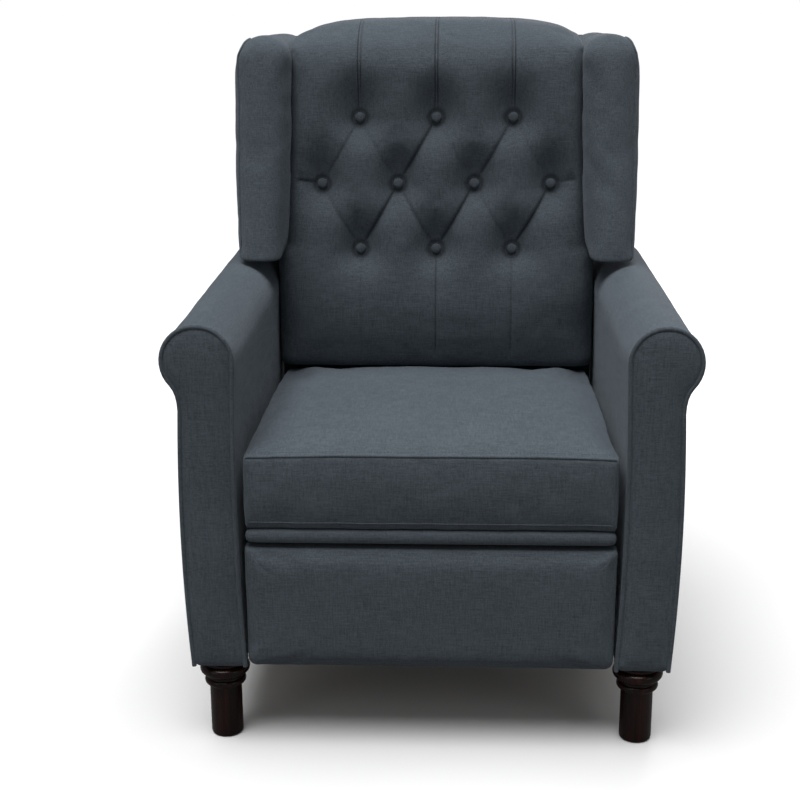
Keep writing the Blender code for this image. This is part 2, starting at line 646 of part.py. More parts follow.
def sinuous_wire(name, length, place):
    """A zigzag spring wire of a length; place(along, across) gives each point's position."""
    bends = ceil(length / SPRING_PITCH)
    per_bend = 6
    count = bends * per_bend
    curve = bpy.data.curves.new(name, "CURVE")
    curve.dimensions = "3D"
    curve.bevel_depth = SPRING_WIRE_RADIUS
    curve.bevel_resolution = 1
    curve.use_fill_caps = True
    spline = curve.splines.new("POLY")
    spline.points.add(count)
    for k in range(count + 1):
        phase = 2 * pi * k / per_bend
        along = length * k / count - length / 2
        spline.points[k].co = (*place(along, SPRING_SWING * sin(phase)), 1)
    curve.materials.append(make_material("spring_steel"))
    curve.materials[0].name = name + "_spring_steel"
    obj = bpy.data.objects.new(name, curve)
    bpy.context.collection.objects.link(obj)
    return obj


def build_seat_springs():
    height = SEAT_BOTTOM + SEAT_FRAME_HEIGHT + SPRING_WIRE_RADIUS + FIT_GAP
    middle = (SEAT_FRAME_FRONT + SEAT_FRAME_REAR) / 2
    length = SEAT_FRAME_REAR - SEAT_FRAME_FRONT - SEAT_FRAME_BAR
    room = 2 * (SEAT_FRAME_HALF_WIDTH - SEAT_FRAME_BAR)
    springs = []
    for k in range(SEAT_SPRING_COUNT):
        x = room * ((k + 0.5) / SEAT_SPRING_COUNT - 0.5)
        springs.append(sinuous_wire("seat_spring_%d" % (k + 1), length, lambda along, across, x=x:
                                    (x + across, back_off(middle + along), height)))
    return springs


def build_seat_cushion():
    """The box cushion with a crowned top and a recess for its frame and springs."""
    front, rear = SEAT_FRONT_DEPTH, SEAT_DEPTH
    crown = SEAT_HEIGHT + 0.002
    rear_top = SEAT_HEIGHT - SEAT_REAR_DROP
    band_rear = front + SEAT_BAND_THICKNESS + FIT_GAP
    outline = [(front, SEAT_BAND_TOP + FIT_GAP), (front, SEAT_HEIGHT - 0.012), (front + 0.004, SEAT_HEIGHT - 0.003)]
    outline += [(front + 0.014, crown)]
    outline += curve_through((front + 0.014, crown), ((front + rear) / 2, crown + 0.008), (rear - 0.020, rear_top), 6)
    outline += [(rear - 0.005, rear_top - 0.006), (rear, rear_top - 0.020), (rear, SEAT_BOTTOM)]
    outline += [(band_rear, SEAT_BOTTOM), (band_rear, SEAT_BAND_TOP + FIT_GAP)]
    cushion = prism("seat_cushion", outline, "X", -SEAT_HALF_WIDTH, SEAT_HALF_WIDTH, "slate_fabric")
    side = PLATE_LAYER_X + STEEL + SEAT_RECESS_GAP
    spring_top = SEAT_BOTTOM + SEAT_FRAME_HEIGHT + 2 * SPRING_WIRE_RADIUS
    recess = box("seat_cushion_recess", (-side, SEAT_FRAME_FRONT - FIT_GAP, SEAT_BOTTOM - 0.02),
                 (side, SEAT_FRAME_REAR + FIT_GAP, spring_top + 0.003), None)
    combine(cushion, recess, "DIFFERENCE")
    return cushion


def build_seat_band():
    """The narrow padded band that finishes the seat's front below the cushion."""
    front, rear = SEAT_FRONT_DEPTH, SEAT_FRONT_DEPTH + SEAT_BAND_THICKNESS
    middle = (SEAT_BOTTOM + SEAT_BAND_TOP) / 2
    outline = [(rear, SEAT_BOTTOM), (rear, SEAT_BAND_TOP), (front + 0.004, SEAT_BAND_TOP), (front, middle),
               (front + 0.004, SEAT_BOTTOM)]
    return prism("seat_front_band", outline, "X", -SEAT_HALF_WIDTH, SEAT_HALF_WIDTH, "slate_fabric")


def build_seat():
    plates = [build_seat_plate(side) for side in (-1, 1)]
    pieces = [build_seat_frame(), build_seat_cushion(), build_seat_band()] + build_seat_springs() + plates
    hang_on(pieces, "seat_slide_axis", Vector((0, back_off(SLIDE_PIN_DEPTHS[0]), SLIDE_PIN_Z)))
    return pieces


# ================================================================ footrest and its links
def build_footrest_pad():
    """The upholstered panel, with its lower corners rounded."""
    half = ARM_INNER_X - FOOTREST_SIDE_GAP
    r = FOOTREST_CORNER
    outline = [(half, FOOTREST_TOP), (-half, FOOTREST_TOP)]
    outline += arc((-half + r, FOOTREST_BOTTOM + r), r, 180, 270, 4)
    outline += arc((half - r, FOOTREST_BOTTOM + r), r, 270, 360, 4)
    pad = prism("footrest_pad", outline, "Y", FOOTREST_FRONT_DEPTH,
                FOOTREST_FRONT_DEPTH + FOOTREST_PAD_THICKNESS, "slate_fabric")
    return soften(pad, 0.004)


def build_footrest_board():
    start = FOOTREST_FRONT_DEPTH + FOOTREST_PAD_THICKNESS + FIT_GAP
    half = ARM_INNER_X - FOOTREST_SIDE_GAP - FOOTREST_BOARD_INSET
    return box("footrest_board", (-half, start, FOOTREST_BOTTOM + FOOTREST_BOARD_INSET),
               (half, start + FOOTREST_BOARD_THICKNESS, FOOTREST_TOP - FOOTREST_BOARD_INSET), "frame_wood")


def pivot_place(pin):
    stowed = PINS[pin][0]
    return Vector((0, back_off(stowed[0]), stowed[1]))


def build_footrest():
    sides = (-1, 1)
    panel = [build_footrest_pad(), build_footrest_board()] + [build_footrest_bracket(s) for s in sides]
    hang_on(panel, "footrest_axis", pivot_place("upper_end"))
    hang_on([build_rear_link(s) for s in sides], "rear_link_axis", pivot_place("rear"))
    hang_on([build_front_link(s) for s in sides], "front_link_axis", pivot_place("front"))
    hang_on([build_upper_link(s) for s in sides], "upper_link_axis", pivot_place("upper_root"))
    hang_on([build_lower_link(s) for s in sides], "lower_link_axis", pivot_place("lower_root"))


# ================================================================ back
def frame_front(height):
    """Depth of the back frame's front face at a height."""
    return BACK_FRAME_DEPTH - BACK_FRAME_THICKNESS / 2 + BACK_LEAN * (height - BACK_FRAME_BOTTOM)


def frame_rear(height):
    return frame_front(height) + BACK_FRAME_THICKNESS


def cushion_front(height):
    """Depth of the back cushion's front face, where the buttons sit."""
    return CUSHION_FRONT_DEPTH + CUSHION_FRONT_LEAN * (height - CUSHION_BOTTOM)


def build_back_frame():
    low, high = BACK_FRAME_BOTTOM, BACK_FRAME_TOP
    outline = [(frame_front(low), low), (frame_rear(low), low), (frame_rear(high), high), (frame_front(high), high)]
    half = BACK_FRAME_HALF_WIDTH
    frame = prism("back_frame", outline, "X", -half, half, "frame_wood")
    bar = BACK_FRAME_BAR
    window = prism("back_frame_window", [(frame_front(low) - bar, low + bar), (frame_rear(low) + bar, low + bar),
                                         (frame_rear(high) + bar, high - bar), (frame_front(high) - bar, high - bar)],
                   "X", bar - half, half - bar, None)
    combine(frame, window, "DIFFERENCE")
    return frame


def build_back_springs():
    springs = []
    lift = SPRING_WIRE_RADIUS * 1.1 + FIT_GAP
    for number, height in enumerate(BACK_SPRING_HEIGHTS):
        springs.append(sinuous_wire(
            "back_spring_%d" % (number + 1), 2 * BACK_FRAME_HALF_WIDTH - BACK_FRAME_BAR,
            lambda along, across, height=height:
            (along, back_off(frame_front(height + across) - lift), height + across)))
    return springs


def cushion_outline():
    """The back cushion's front view: full width between the arms, narrower between the wings."""
    top_edge = WING_TOP - 0.006
    right = [(CUSHION_LOW_HALF_WIDTH, CUSHION_BOTTOM), (CUSHION_LOW_HALF_WIDTH, WING_BOTTOM - 0.012),
             (CUSHION_HIGH_HALF_WIDTH, WING_BOTTOM), (CUSHION_HIGH_HALF_WIDTH, top_edge)]
    crown = curve_through(right[-1], (CUSHION_HIGH_HALF_WIDTH * 0.62, BACK_HEIGHT + 0.003), (0, BACK_HEIGHT), 5)
    right += crown
    return right + [(-x, z) for x, z in reversed(right[:-1])]


def build_back_cushion():
    """The back pad: flat-faced at the depth of the buttons, and rolled over the frame's top."""
    gap = CUSHION_FRAME_GAP
    notch = BACK_PIVOT_DEPTH - 0.025
    notch_top = BACK_PIVOT_Z + CUSHION_NOTCH_RISE
    top = BACK_HEIGHT
    frame_top = BACK_FRAME_TOP + gap
    side_view = [(cushion_front(CUSHION_BOTTOM), CUSHION_BOTTOM), (notch, CUSHION_BOTTOM), (notch, notch_top),
                 (frame_front(notch_top) - gap, notch_top), (frame_front(frame_top) - gap, frame_top)]
    side_view += [(frame_rear(BACK_FRAME_TOP) - 0.004, frame_top), (frame_rear(BACK_FRAME_TOP) - 0.004, top - 0.030)]
    side_view += curve_through(side_view[-1], (frame_rear(top) - 0.035, top), (frame_front(top) - 0.015, top), 4)
    side_view += [(cushion_front(top) + 0.050, top)]
    side_view += curve_through(side_view[-1], (cushion_front(top) + 0.008, top - 0.006), (cushion_front(top), top - 0.055), 5)
    cushion = prism("back_cushion", side_view, "X", -CUSHION_LOW_HALF_WIDTH, CUSHION_LOW_HALF_WIDTH, "slate_fabric")
    trim = prism("back_cushion_outline", cushion_outline(), "Y", cushion_front(CUSHION_BOTTOM) - 0.1,
                 frame_rear(top) + 0.1, None)
    combine(cushion, trim, "INTERSECT")
    return cushion


def wing_half_widths(height):
    """Inner and outer face of a wing at a height."""
    share = (height - WING_BOTTOM) / (WING_TOP - WING_BOTTOM)
    return (WING_INNER_LOW + share * (WING_INNER_HIGH - WING_INNER_LOW),
            WING_OUTER_LOW + share * (WING_OUTER_HIGH - WING_OUTER_LOW))


def wing_side_view(inset):
    """A wing's side outline, drawn inwards by inset, except at its open rear."""
    low, high = WING_BOTTOM + inset, WING_TOP - inset
    slope = (WING_FRONT_HIGH_DEPTH - WING_FRONT_LOW_DEPTH) / (WING_TOP - WING_BOTTOM)
    front = lambda z: WING_FRONT_LOW_DEPTH + inset + slope * (z - WING_BOTTOM)
    rear = frame_rear if inset == 0 else lambda z: frame_rear(z) + 0.05
    rise = low + WING_BOTTOM_RISE
    corner = max(WING_CORNER - inset, 0.006)
    top_corner = arc((front(high) + corner, high - corner), corner, 165, 90, 5)
    return ([(front(low) + 0.004, low), (front(low) + 0.14, low + WING_BOTTOM_RISE * 0.6), (rear(rise), rise),
             (rear(high), high)] + list(reversed(top_corner)) + [(front(low + 0.008), low + 0.008)])


def wing_block(name, side, inset, finish):
    """A wing's solid: its side outline across, trimmed to its tapering width from the front."""
    outline = wing_side_view(inset)
    low_in, low_out = wing_half_widths(WING_BOTTOM)
    high_in, high_out = wing_half_widths(WING_TOP)
    place_x = lambda z, outer: side * (wing_half_widths(z)[outer] + (-inset if outer else inset))
    bm = bmesh.new()
    loops = []
    for outer in (0, 1):
        loops.append([bm.verts.new((place_x(z, outer), back_off(depth), z)) for depth, z in outline])
    bm.faces.new(loops[0])
    bm.faces.new(loops[1])
    for i in range(len(outline)):
        j = (i + 1) % len(outline)
        bm.faces.new((loops[0][i], loops[0][j], loops[1][j], loops[1][i]))
    return add_object(name, bm, finish)


def build_wing(side):
    """An upholstered wing, hollow and open at the rear, where the outside back closes it."""
    wing = wing_block(side_name(side) + "_wing", side, 0, "slate_fabric")
    combine(wing, wing_block(wing.name + "_hollow", side, WING_WALL, None), "DIFFERENCE")
    return wing


def build_wing_frame(side):
    """The plywood board inside a wing."""
    outline = [(a, b) for a, b in wing_side_view(WING_BOARD_INSET)]
    outline = [(min(a, frame_rear(b) - FIT_GAP), b) for a, b in outline]
    centre = (WING_INNER_LOW + WING_OUTER_HIGH) / 2
    return prism(side_name(side) + "_wing_frame", outline, "X", side * (centre - WING_BOARD / 2),
                 side * (centre + WING_BOARD / 2), "frame_wood")


def build_outside_back():
    """The covered panel that closes the back: wide behind the wings, narrow between the arms.

    Its waist is narrower still, so that it swings past the fixed rails' uprights.
    """
    shoulder = WING_BOTTOM + WING_BOTTOM_RISE
    top = WING_TOP
    wide = wing_half_widths(WING_BOTTOM)[1]
    narrow = SEAT_HALF_WIDTH - 0.004
    waist = RAIL_LAYER_X - 0.001
    waist_top = BACK_PIVOT_Z + 0.025
    outline = []
    for side in (1, -1):
        half = [(side * waist, BACK_FRAME_BOTTOM), (side * waist, waist_top), (side * narrow, waist_top + 0.005),
                (side * narrow, shoulder - 0.010), (side * wide, shoulder), (side * wide, top)]
        outline += half if side > 0 else reversed(half)
    slab_low, slab_high = BACK_FRAME_BOTTOM - 0.05, top + 0.05
    start = lambda z: frame_rear(z) + FIT_GAP
    end = lambda z: start(z) + OUTSIDE_BACK_THICKNESS
    slab = prism("outside_back", [(start(slab_low), slab_low), (end(slab_low), slab_low),
                                  (end(slab_high), slab_high), (start(slab_high), slab_high)],
                 "X", -wide - 0.02, wide + 0.02, "slate_fabric")
    trim = prism("outside_back_outline", outline, "Y", start(slab_low) - 0.05, end(slab_high) + 0.05, None)
    combine(slab, trim, "INTERSECT")
    low, high = waist_top + 0.008, shoulder - 0.014
    flank = [(frame_front(low), low), (start(low) + OUTSIDE_BACK_THICKNESS / 2, low),
             (start(high) + OUTSIDE_BACK_THICKNESS / 2, high), (frame_front(high), high)]
    for side in (-1, 1):
        combine(slab, prism("outside_back_flank_%s" % side_name(side), flank, "X", side * narrow,
                            side * (narrow - BACK_FLANK_THICKNESS), None), "UNION")
    return slab


def build_buttons():
    """Fabric-covered tufting buttons in rows on the back cushion's face."""
    profile = [(BUTTON_RADIUS * 0.86, 0), (BUTTON_RADIUS, BUTTON_HEIGHT * 0.35),
               (BUTTON_RADIUS * 0.80, BUTTON_HEIGHT * 0.80), (BUTTON_RADIUS * 0.40, BUTTON_HEIGHT)]
    tilt = atan2(CUSHION_FRONT_LEAN, 1)
    buttons = []
    for row, (height, count) in enumerate(BUTTON_ROWS):
        for column in range(count):
            x = BUTTON_SPACING * (column - (count - 1) / 2)
            place = (x, back_off(cushion_front(height)) - FIT_GAP, height)
            button = turned("button_%d_%d" % (row + 1, column + 1), profile, place, "slate_fabric", 16)
            button.rotation_euler = (pi / 2 - tilt, 0, 0)
            buttons.append(smooth(button, 50))
    return buttons


def build_back():
    pieces = [build_back_frame(), build_back_cushion(), build_outside_back()]
    pieces += build_back_springs() + build_buttons()
    for side in (-1, 1):
        pieces += [build_wing(side), build_wing_frame(side), build_back_bracket(side)]
    hang_on(pieces, "back_axis", Vector((0, back_off(BACK_PIVOT_DEPTH), BACK_PIVOT_Z)))
    return pieces


def main():
    for obj in list(bpy.data.objects):
        bpy.data.objects.remove(obj)
    build_base()
    build_seat()
    build_footrest()
    build_back()


main()
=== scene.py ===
"""Looks of the push-back wing recliner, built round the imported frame.

Metres, +Z up, the front faces -Y. Left and right are as seen from the front.
Each operator makes one piece, or a group of like pieces, and rides it on its body.
"""
from math import atan2, cos, exp, hypot, pi, radians, sin, sqrt, tanh

import bmesh
import bpy
import numpy as np
from bpy.props import FloatProperty, FloatVectorProperty, IntProperty, PointerProperty
from mathutils import Euler, Matrix, Vector
from mathutils.noise import noise as noise_at


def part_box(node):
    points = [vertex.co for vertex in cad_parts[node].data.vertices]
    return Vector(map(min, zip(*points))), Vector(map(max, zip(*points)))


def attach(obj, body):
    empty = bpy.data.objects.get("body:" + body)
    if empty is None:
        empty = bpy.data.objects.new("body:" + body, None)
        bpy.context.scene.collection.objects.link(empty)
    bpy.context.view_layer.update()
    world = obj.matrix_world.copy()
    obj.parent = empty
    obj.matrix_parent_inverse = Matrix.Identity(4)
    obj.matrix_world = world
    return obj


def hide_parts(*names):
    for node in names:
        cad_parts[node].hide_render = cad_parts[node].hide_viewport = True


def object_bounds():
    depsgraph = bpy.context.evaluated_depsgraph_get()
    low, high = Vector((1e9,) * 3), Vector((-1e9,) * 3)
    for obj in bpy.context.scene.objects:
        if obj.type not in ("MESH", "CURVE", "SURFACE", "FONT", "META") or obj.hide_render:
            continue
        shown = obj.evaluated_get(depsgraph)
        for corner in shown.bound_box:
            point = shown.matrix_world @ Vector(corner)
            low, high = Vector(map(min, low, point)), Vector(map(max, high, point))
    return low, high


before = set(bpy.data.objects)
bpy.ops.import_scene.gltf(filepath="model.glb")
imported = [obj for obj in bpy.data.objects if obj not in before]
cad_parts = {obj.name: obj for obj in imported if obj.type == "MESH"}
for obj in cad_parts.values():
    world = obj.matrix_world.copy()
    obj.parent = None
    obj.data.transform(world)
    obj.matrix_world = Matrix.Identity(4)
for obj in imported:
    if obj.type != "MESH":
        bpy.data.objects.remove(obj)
CAD_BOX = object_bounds()

bl_info = {
    "name": "Wing Recliner Upholstery",
    "version": (1, 0, 0),
    "blender": (4, 5, 0),
    "location": "View3D > Sidebar > Recliner",
    "description": "Pads, covers, trims, turned legs and studio for a push-back wing recliner",
    "category": "Object",
}

# ---------------------------------------------------------------- places taken from the frame
SEAT_LOW, SEAT_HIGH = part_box("seat_cushion")
BAND_LOW, BAND_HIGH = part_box("seat_front_band")
SEAT_FRAME_LOW, SEAT_FRAME_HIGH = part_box("seat_frame")
ARM_LOW, ARM_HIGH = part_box("right_arm_cover")
PAD_LOW, PAD_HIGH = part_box("footrest_pad")
BACK_LOW, BACK_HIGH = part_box("back_cushion")
WING_LOW, WING_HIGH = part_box("right_wing")
FRAME_LOW, FRAME_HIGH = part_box("back_frame")
PANEL_LOW, PANEL_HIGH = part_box("outside_back")
APRON_LOW, APRON_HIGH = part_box("rear_apron")
DUST_LOW, DUST_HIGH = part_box("dust_cover")
LEG_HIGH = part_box("front_right_leg")[1]
FRONT_Y = CAD_BOX[0].y
BUTTONS = {name: sum(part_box(name), Vector()) / 2
           for name in sorted(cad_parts) if name.startswith("button_")}
TOP_ROW, LOW_ROW = BUTTONS["button_1_1"], BUTTONS["button_3_1"]

FACE_LEAN = (TOP_ROW.y - LOW_ROW.y) / (TOP_ROW.z - LOW_ROW.z)
FRAME_BAR = 0.045
FRAME_LEAN = (FRAME_HIGH.y - FRAME_LOW.y - FRAME_BAR) / (FRAME_HIGH.z - FRAME_LOW.z)
ROLL_RADIUS = 0.048
WING_REAR_DROP = 0.011
WING_INNER, WING_INNER_TAPER = 0.2475, 0.0115
WING_OUTER, WING_OUTER_FLARE = 0.317, 0.006
PAD_HALF = 0.2265
SKIRT_HALF = 0.2255
ROLL_X = ARM_HIGH.x - ROLL_RADIUS
ROLL_Z = ARM_HIGH.z - ROLL_RADIUS


def face_y(z):
    """Y of the plane in the back pad's front that the tufting buttons sit on."""
    return BACK_LOW.y + FACE_LEAN * (z - BACK_LOW.z)


def frame_front_y(z):
    return FRAME_LOW.y + FRAME_LEAN * (z - FRAME_LOW.z)


def frame_rear_y(z):
    return frame_front_y(z) + FRAME_BAR


# ---------------------------------------------------------------- what a user would change
class RECLINER_PG_shape(bpy.types.PropertyGroup):
    """Sizes of the soft work."""

    pressure: FloatProperty(name="Stuffing pressure", description="How hard the stuffing pushes the covers out",
                            default=4.0, min=0.0, max=20.0)
    frames: IntProperty(name="Stuffing steps", description="Steps of cloth that fill each pad", default=20,
                        min=0, max=60)
    seat_puff: FloatProperty(name="Seat puff", description="How far the seat's covers may swell", default=0.010,
                             min=0.0, max=0.03, unit="LENGTH")
    back_depth: FloatProperty(name="Back fullness", description="How far the back stands in front of its buttons",
                              default=0.022, min=0.0, max=0.05, unit="LENGTH")
    back_puff: FloatProperty(name="Back puff", description="How far the back's cover may swell between its buttons",
                             default=0.010, min=0.0, max=0.04, unit="LENGTH")
    trim_puff: FloatProperty(name="Panel puff", description="How far arms, wings and footrest may swell",
                             default=0.005, min=0.0, max=0.02, unit="LENGTH")
    tuft_radius: FloatProperty(name="Tuft radius", description="How far round a button the cover is drawn in",
                               default=0.019, min=0.005, max=0.05, unit="LENGTH")
    between_buttons: FloatProperty(name="Diamond puff", description="Extra fullness between the buttons",
                                   default=0.003, min=0.0, max=0.03, unit="LENGTH")
    pleat_depth: FloatProperty(name="Pleat depth", description="Depth of the folds between the buttons",
                               default=0.0075, min=0.0, max=0.02, unit="LENGTH")
    welt_radius: FloatProperty(name="Welt radius", description="Radius of the covered cord on the arm fronts",
                               default=0.0033, min=0.001, max=0.006, unit="LENGTH")
    stitch_length: FloatProperty(name="Stitch length", description="Length of one visible stitch", default=0.0034,
                                 min=0.001, max=0.01, unit="LENGTH")


class RECLINER_PG_finish(bpy.types.PropertyGroup):
    """Colours and finishes."""

    fabric: FloatVectorProperty(name="Fabric", description="Middle colour of the heathered weave", subtype="COLOR",
                                size=4, min=0.0, max=1.0, default=(0.083, 0.101, 0.119, 1.0))
    heather: FloatProperty(name="Heather", description="Contrast between the light and dark yarns", default=0.62,
                           min=0.0, max=2.0)
    leg_wood: FloatVectorProperty(name="Leg wood", description="Stain of the turned legs", subtype="COLOR", size=4,
                                  min=0.0, max=1.0, default=(0.015, 0.0042, 0.0034, 1.0))
    frame_wood: FloatVectorProperty(name="Frame wood", description="Bare wood of the hidden frames", subtype="COLOR",
                                    size=4, min=0.0, max=1.0, default=(0.47, 0.31, 0.17, 1.0))
    steel: FloatVectorProperty(name="Painted steel", description="Paint of the mechanism", subtype="COLOR", size=4,
                               min=0.0, max=1.0, default=(0.016, 0.016, 0.018, 1.0))


class RECLINER_PG_studio(bpy.types.PropertyGroup):
    """Floor, lights and camera."""

    floor: FloatVectorProperty(name="Floor", description="Colour of the plain floor", subtype="COLOR", size=4,
                               min=0.0, max=1.0, default=(0.88, 0.88, 0.88, 1.0))
    bounce: FloatProperty(name="Floor bounce", description="Share of the floor's light that reaches the chair",
                          default=0.17, min=0.0, max=1.0, subtype="FACTOR")
    sun: FloatProperty(name="Overhead light", description="Strength of the wide soft light above", default=3.35,
                       min=0.0)
    side_power: FloatProperty(name="Front lights", description="Power of each soft light beside the camera",
                              default=3.0, min=0.0, unit="POWER")
    rear_power: FloatProperty(name="Rear light", description="Power of the soft light behind", default=34.0, min=0.0,
                              unit="POWER")
    sky: FloatProperty(name="Room light", description="Strength of the even light all round", default=0.165, min=0.0)
    lens: FloatProperty(name="Lens", description="Focal length", default=64.4, min=20.0, max=200.0, unit="CAMERA")


# ================================================================ mesh tools
GROUPS, FINISHES = {}, {}
SIDES = (("left", -1), ("right", 1))
THREAD = 0.0009
STITCH_PITCH = 1.35


def add_mesh(name, points, faces):
    """A closed mesh object at the origin with its faces pointing outwards."""
    mesh = bpy.data.meshes.new(name)
    mesh.from_pydata([tuple(p) for p in points], [], faces)
    bm = bmesh.new()
    bm.from_mesh(mesh)
    bmesh.ops.remove_doubles(bm, verts=bm.verts, dist=1e-5)
    bmesh.ops.dissolve_degenerate(bm, edges=bm.edges, dist=1e-6)
    bmesh.ops.recalc_face_normals(bm, faces=bm.faces)
    bm.to_mesh(mesh)
    bm.free()
    return shade_smooth(add_object(name, mesh))


def add_object(name, data):
    """A new object at the origin, linked to the scene."""
    obj = bpy.data.objects.new(name, data)
    bpy.context.scene.collection.objects.link(obj)
    return obj


def shade_smooth(obj):
    obj.data.polygons.foreach_set("use_smooth", [True] * len(obj.data.polygons))
    obj.data.update()
    return obj


def loft(name, rings, ends="middle", pairs=None):
    """Skins a row of closed rings, each with the same number of points.

    ends "middle" closes each end on its middle; "zip" joins the two long sides of each end ring,
    pairing its first point with its last of the first pairs points, and so on inwards.
    """
    count = len(rings[0])
    points = [p for ring in rings for p in ring]
    faces = [(r * count + i, r * count + (i + 1) % count, (r + 1) * count + (i + 1) % count, (r + 1) * count + i)
             for r in range(len(rings) - 1) for i in range(count)]
    for start in (0, (len(rings) - 1) * count):
        if ends == "zip":
            last = (pairs or count) - 1
            faces += [(start + i, start + i + 1, start + last - i - 1, start + last - i) for i in range(last // 2)]
            if last < count - 1:
                faces.append((start,) + tuple(range(start + last, start + count)))
        else:
            points.append(sum((Vector(p) for p in points[start:start + count]), Vector()) / count)
            faces += [(start + i, start + (i + 1) % count, len(points) - 1) for i in range(count)]
    return add_mesh(name, points, faces)


def resample(path, spacing):
    """Even points along each straight run of a path, keeping its corners."""
    out = [tuple(path[0])]
    for a, b in zip(path, path[1:]):
        a, b = Vector(a), Vector(b)
        steps = max(1, round((b - a).length / spacing))
        out += [tuple(a.lerp(b, k / steps)) for k in range(1, steps + 1)]
    return out


def arc(centre, radius, start, end, steps):
    """Points on an arc in a plane, angles in degrees."""
    angles = [radians(start + (end - start) * k / steps) for k in range(steps + 1)]
    return [(centre[0] + radius * cos(a), centre[1] + radius * sin(a)) for a in angles]


def bow(start, bend, end, steps):
    """Points on a curve from start to end, drawn towards bend."""
    out = []
    for k in range(steps + 1):
        t = k / steps
        out.append(tuple((1 - t) ** 2 * a + 2 * t * (1 - t) * b + t * t * c for a, b, c in zip(start, bend, end)))
    return out


def squared(value, power):
    """A sine or cosine raised to a power with its sign kept, which squares off a round section."""
    return abs(value) ** power * (1 if value > 0 else -1)


def smoothstep(low, high, value):
    t = min(1.0, max(0.0, (value - low) / (high - low)))
    return t * t * (3 - 2 * t)


def apply_modifiers(obj):
    """Replaces the mesh with its evaluated shape, and clears the modifiers."""
    graph = bpy.context.evaluated_depsgraph_get()
    mesh = bpy.data.meshes.new_from_object(obj.evaluated_get(graph))
    obj.modifiers.clear()
    obj.data = mesh
    return obj


def subdivide(obj, levels=1):
    modifier = obj.modifiers.new("refine", "SUBSURF")
    modifier.levels = modifier.render_levels = levels
    return shade_smooth(apply_modifiers(obj))


def inflate(obj, cap, held):
    """Fills a closed cover with pressure.

    cap(point) is how far a point may move, held(point) is True where it is sewn down.
    """
    shape = bpy.context.scene.recliner_shape
    if not shape.frames:
        return obj
    start = [v.co.copy() for v in obj.data.vertices]
    group = obj.vertex_groups.new(name="sewn")
    group.add([i for i, p in enumerate(start) if held(p)], 1.0, "REPLACE")
    cloth = obj.modifiers.new("stuffing", "CLOTH")
    cloth.settings.quality = 5
    cloth.settings.use_pressure = True
    cloth.settings.uniform_pressure_force = shape.pressure
    cloth.settings.effector_weights.gravity = 0
    cloth.settings.vertex_group_mass = "sewn"
    cloth.collision_settings.use_collision = False
    cloth.point_cache.frame_start, cloth.point_cache.frame_end = 1, shape.frames
    for step in range(1, shape.frames + 1):
        bpy.context.scene.frame_set(step)
    filled = obj.evaluated_get(bpy.context.evaluated_depsgraph_get()).to_mesh()
    moved = [v.co.copy() for v in filled.vertices]
    obj.modifiers.clear()
    obj.vertex_groups.clear()
    bpy.context.scene.frame_set(1)
    for vertex, low, high in zip(obj.data.vertices, start, moved):
        move, limit = high - low, cap(low)
        if move.length > 1e-9 and limit > 0:
            vertex.co = low + move.normalized() * limit * tanh(move.length / limit)
    obj.data.update()
    return obj


def lathe(profile, sides, middle=(0.0, 0.0)):
    """Points and faces of a profile of (radius, height) turned about an upright axis."""
    turns = [2 * pi * k / sides for k in range(sides)]
    points = [(middle[0] + r * cos(a), middle[1] + r * sin(a), z) for r, z in profile for a in turns]
    faces = [(level * sides + k, level * sides + (k + 1) % sides, (level + 1) * sides + (k + 1) % sides,
              (level + 1) * sides + k) for level in range(len(profile) - 1) for k in range(sides)]
    return points, faces


def read_points(mesh):
    """The place and the normal of every vertex."""
    points, normals = np.empty(len(mesh.vertices) * 3), np.empty(len(mesh.vertices) * 3)
    mesh.vertices.foreach_get("co", points)
    mesh.vertices.foreach_get("normal", normals)
    return points.reshape(-1, 3), normals.reshape(-1, 3)


def write_points(mesh, points):
    mesh.vertices.foreach_set("co", points.ravel())
    mesh.update()


def ruffle(obj, amount, size, seed):
    """Small slow waves in a cover, as stuffed cloth has; size is their length."""
    offset = Vector((seed * 3.1, seed * 1.7, seed * 2.3))
    points, normals = read_points(obj.data)
    waves = [noise_at(Vector(p) / size + offset) + 0.5 * noise_at(Vector(p) * 2.3 / size - offset) for p in points]
    write_points(obj.data, points + normals * (np.array(waves) * amount)[:, None])
    return obj


def on_surface(obj, path, lift):
    """The nearest places on a piece to the points of a path, lifted off its surface."""
    out = []
    for p in path:
        _, place, normal, _ = obj.closest_point_on_mesh(p)
        out.append(place + normal * lift)
    return out


def drawn_in(ring, spine, share):
    """A ring moved part of the way to its spine; spine(point) is the point it closes on."""
    return [tuple(Vector(p).lerp(Vector(spine(p)), share)) for p in ring]


def settle(obj, body, replaces=(), finish="fabric"):
    """Gives a piece its finish, and hands it to its body."""
    obj.data.materials.clear()
    obj.data.materials.append(FINISHES[finish])
    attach(obj, body)
    if replaces:
        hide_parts(*replaces)
    return obj


def hanging_flap(name, body, xs, line, waves, thick):
    """A thin loose flap that hangs down a line of (y, z) places, and waves more towards its free edge."""
    top, foot = line[0][1], line[-1][1]
    reach = waves[-1]
    rings = []
    for x in xs:
        sway = sum(size * sin(x * rate + shift) for size, rate, shift in waves[:-1])
        hung = [(y + sway * (top - z) / reach, z) for y, z in line]
        rings.append([(x, y - thick, z) for y, z in hung] + [(x, hung[-1][0], foot - thick)]
                     + [(x, y + thick, z) for y, z in reversed(hung)])
    return settle(subdivide(loft(name, rings)), body)


# ================================================================ shader tools
def add_node(tree, kind, feeds=None, **settings):
    """A node with its settings, and its inputs fed by sockets or set to values."""
    made = tree.nodes.new(kind)
    for key, value in settings.items():
        setattr(made, key, value)
    for key, value in (feeds or {}).items():
        if isinstance(value, bpy.types.NodeSocket):
            tree.links.new(value, made.inputs[key])
        elif value is not None:
            made.inputs[key].default_value = value
    return made


def wire(tree, source, target):
    tree.links.new(source, target)


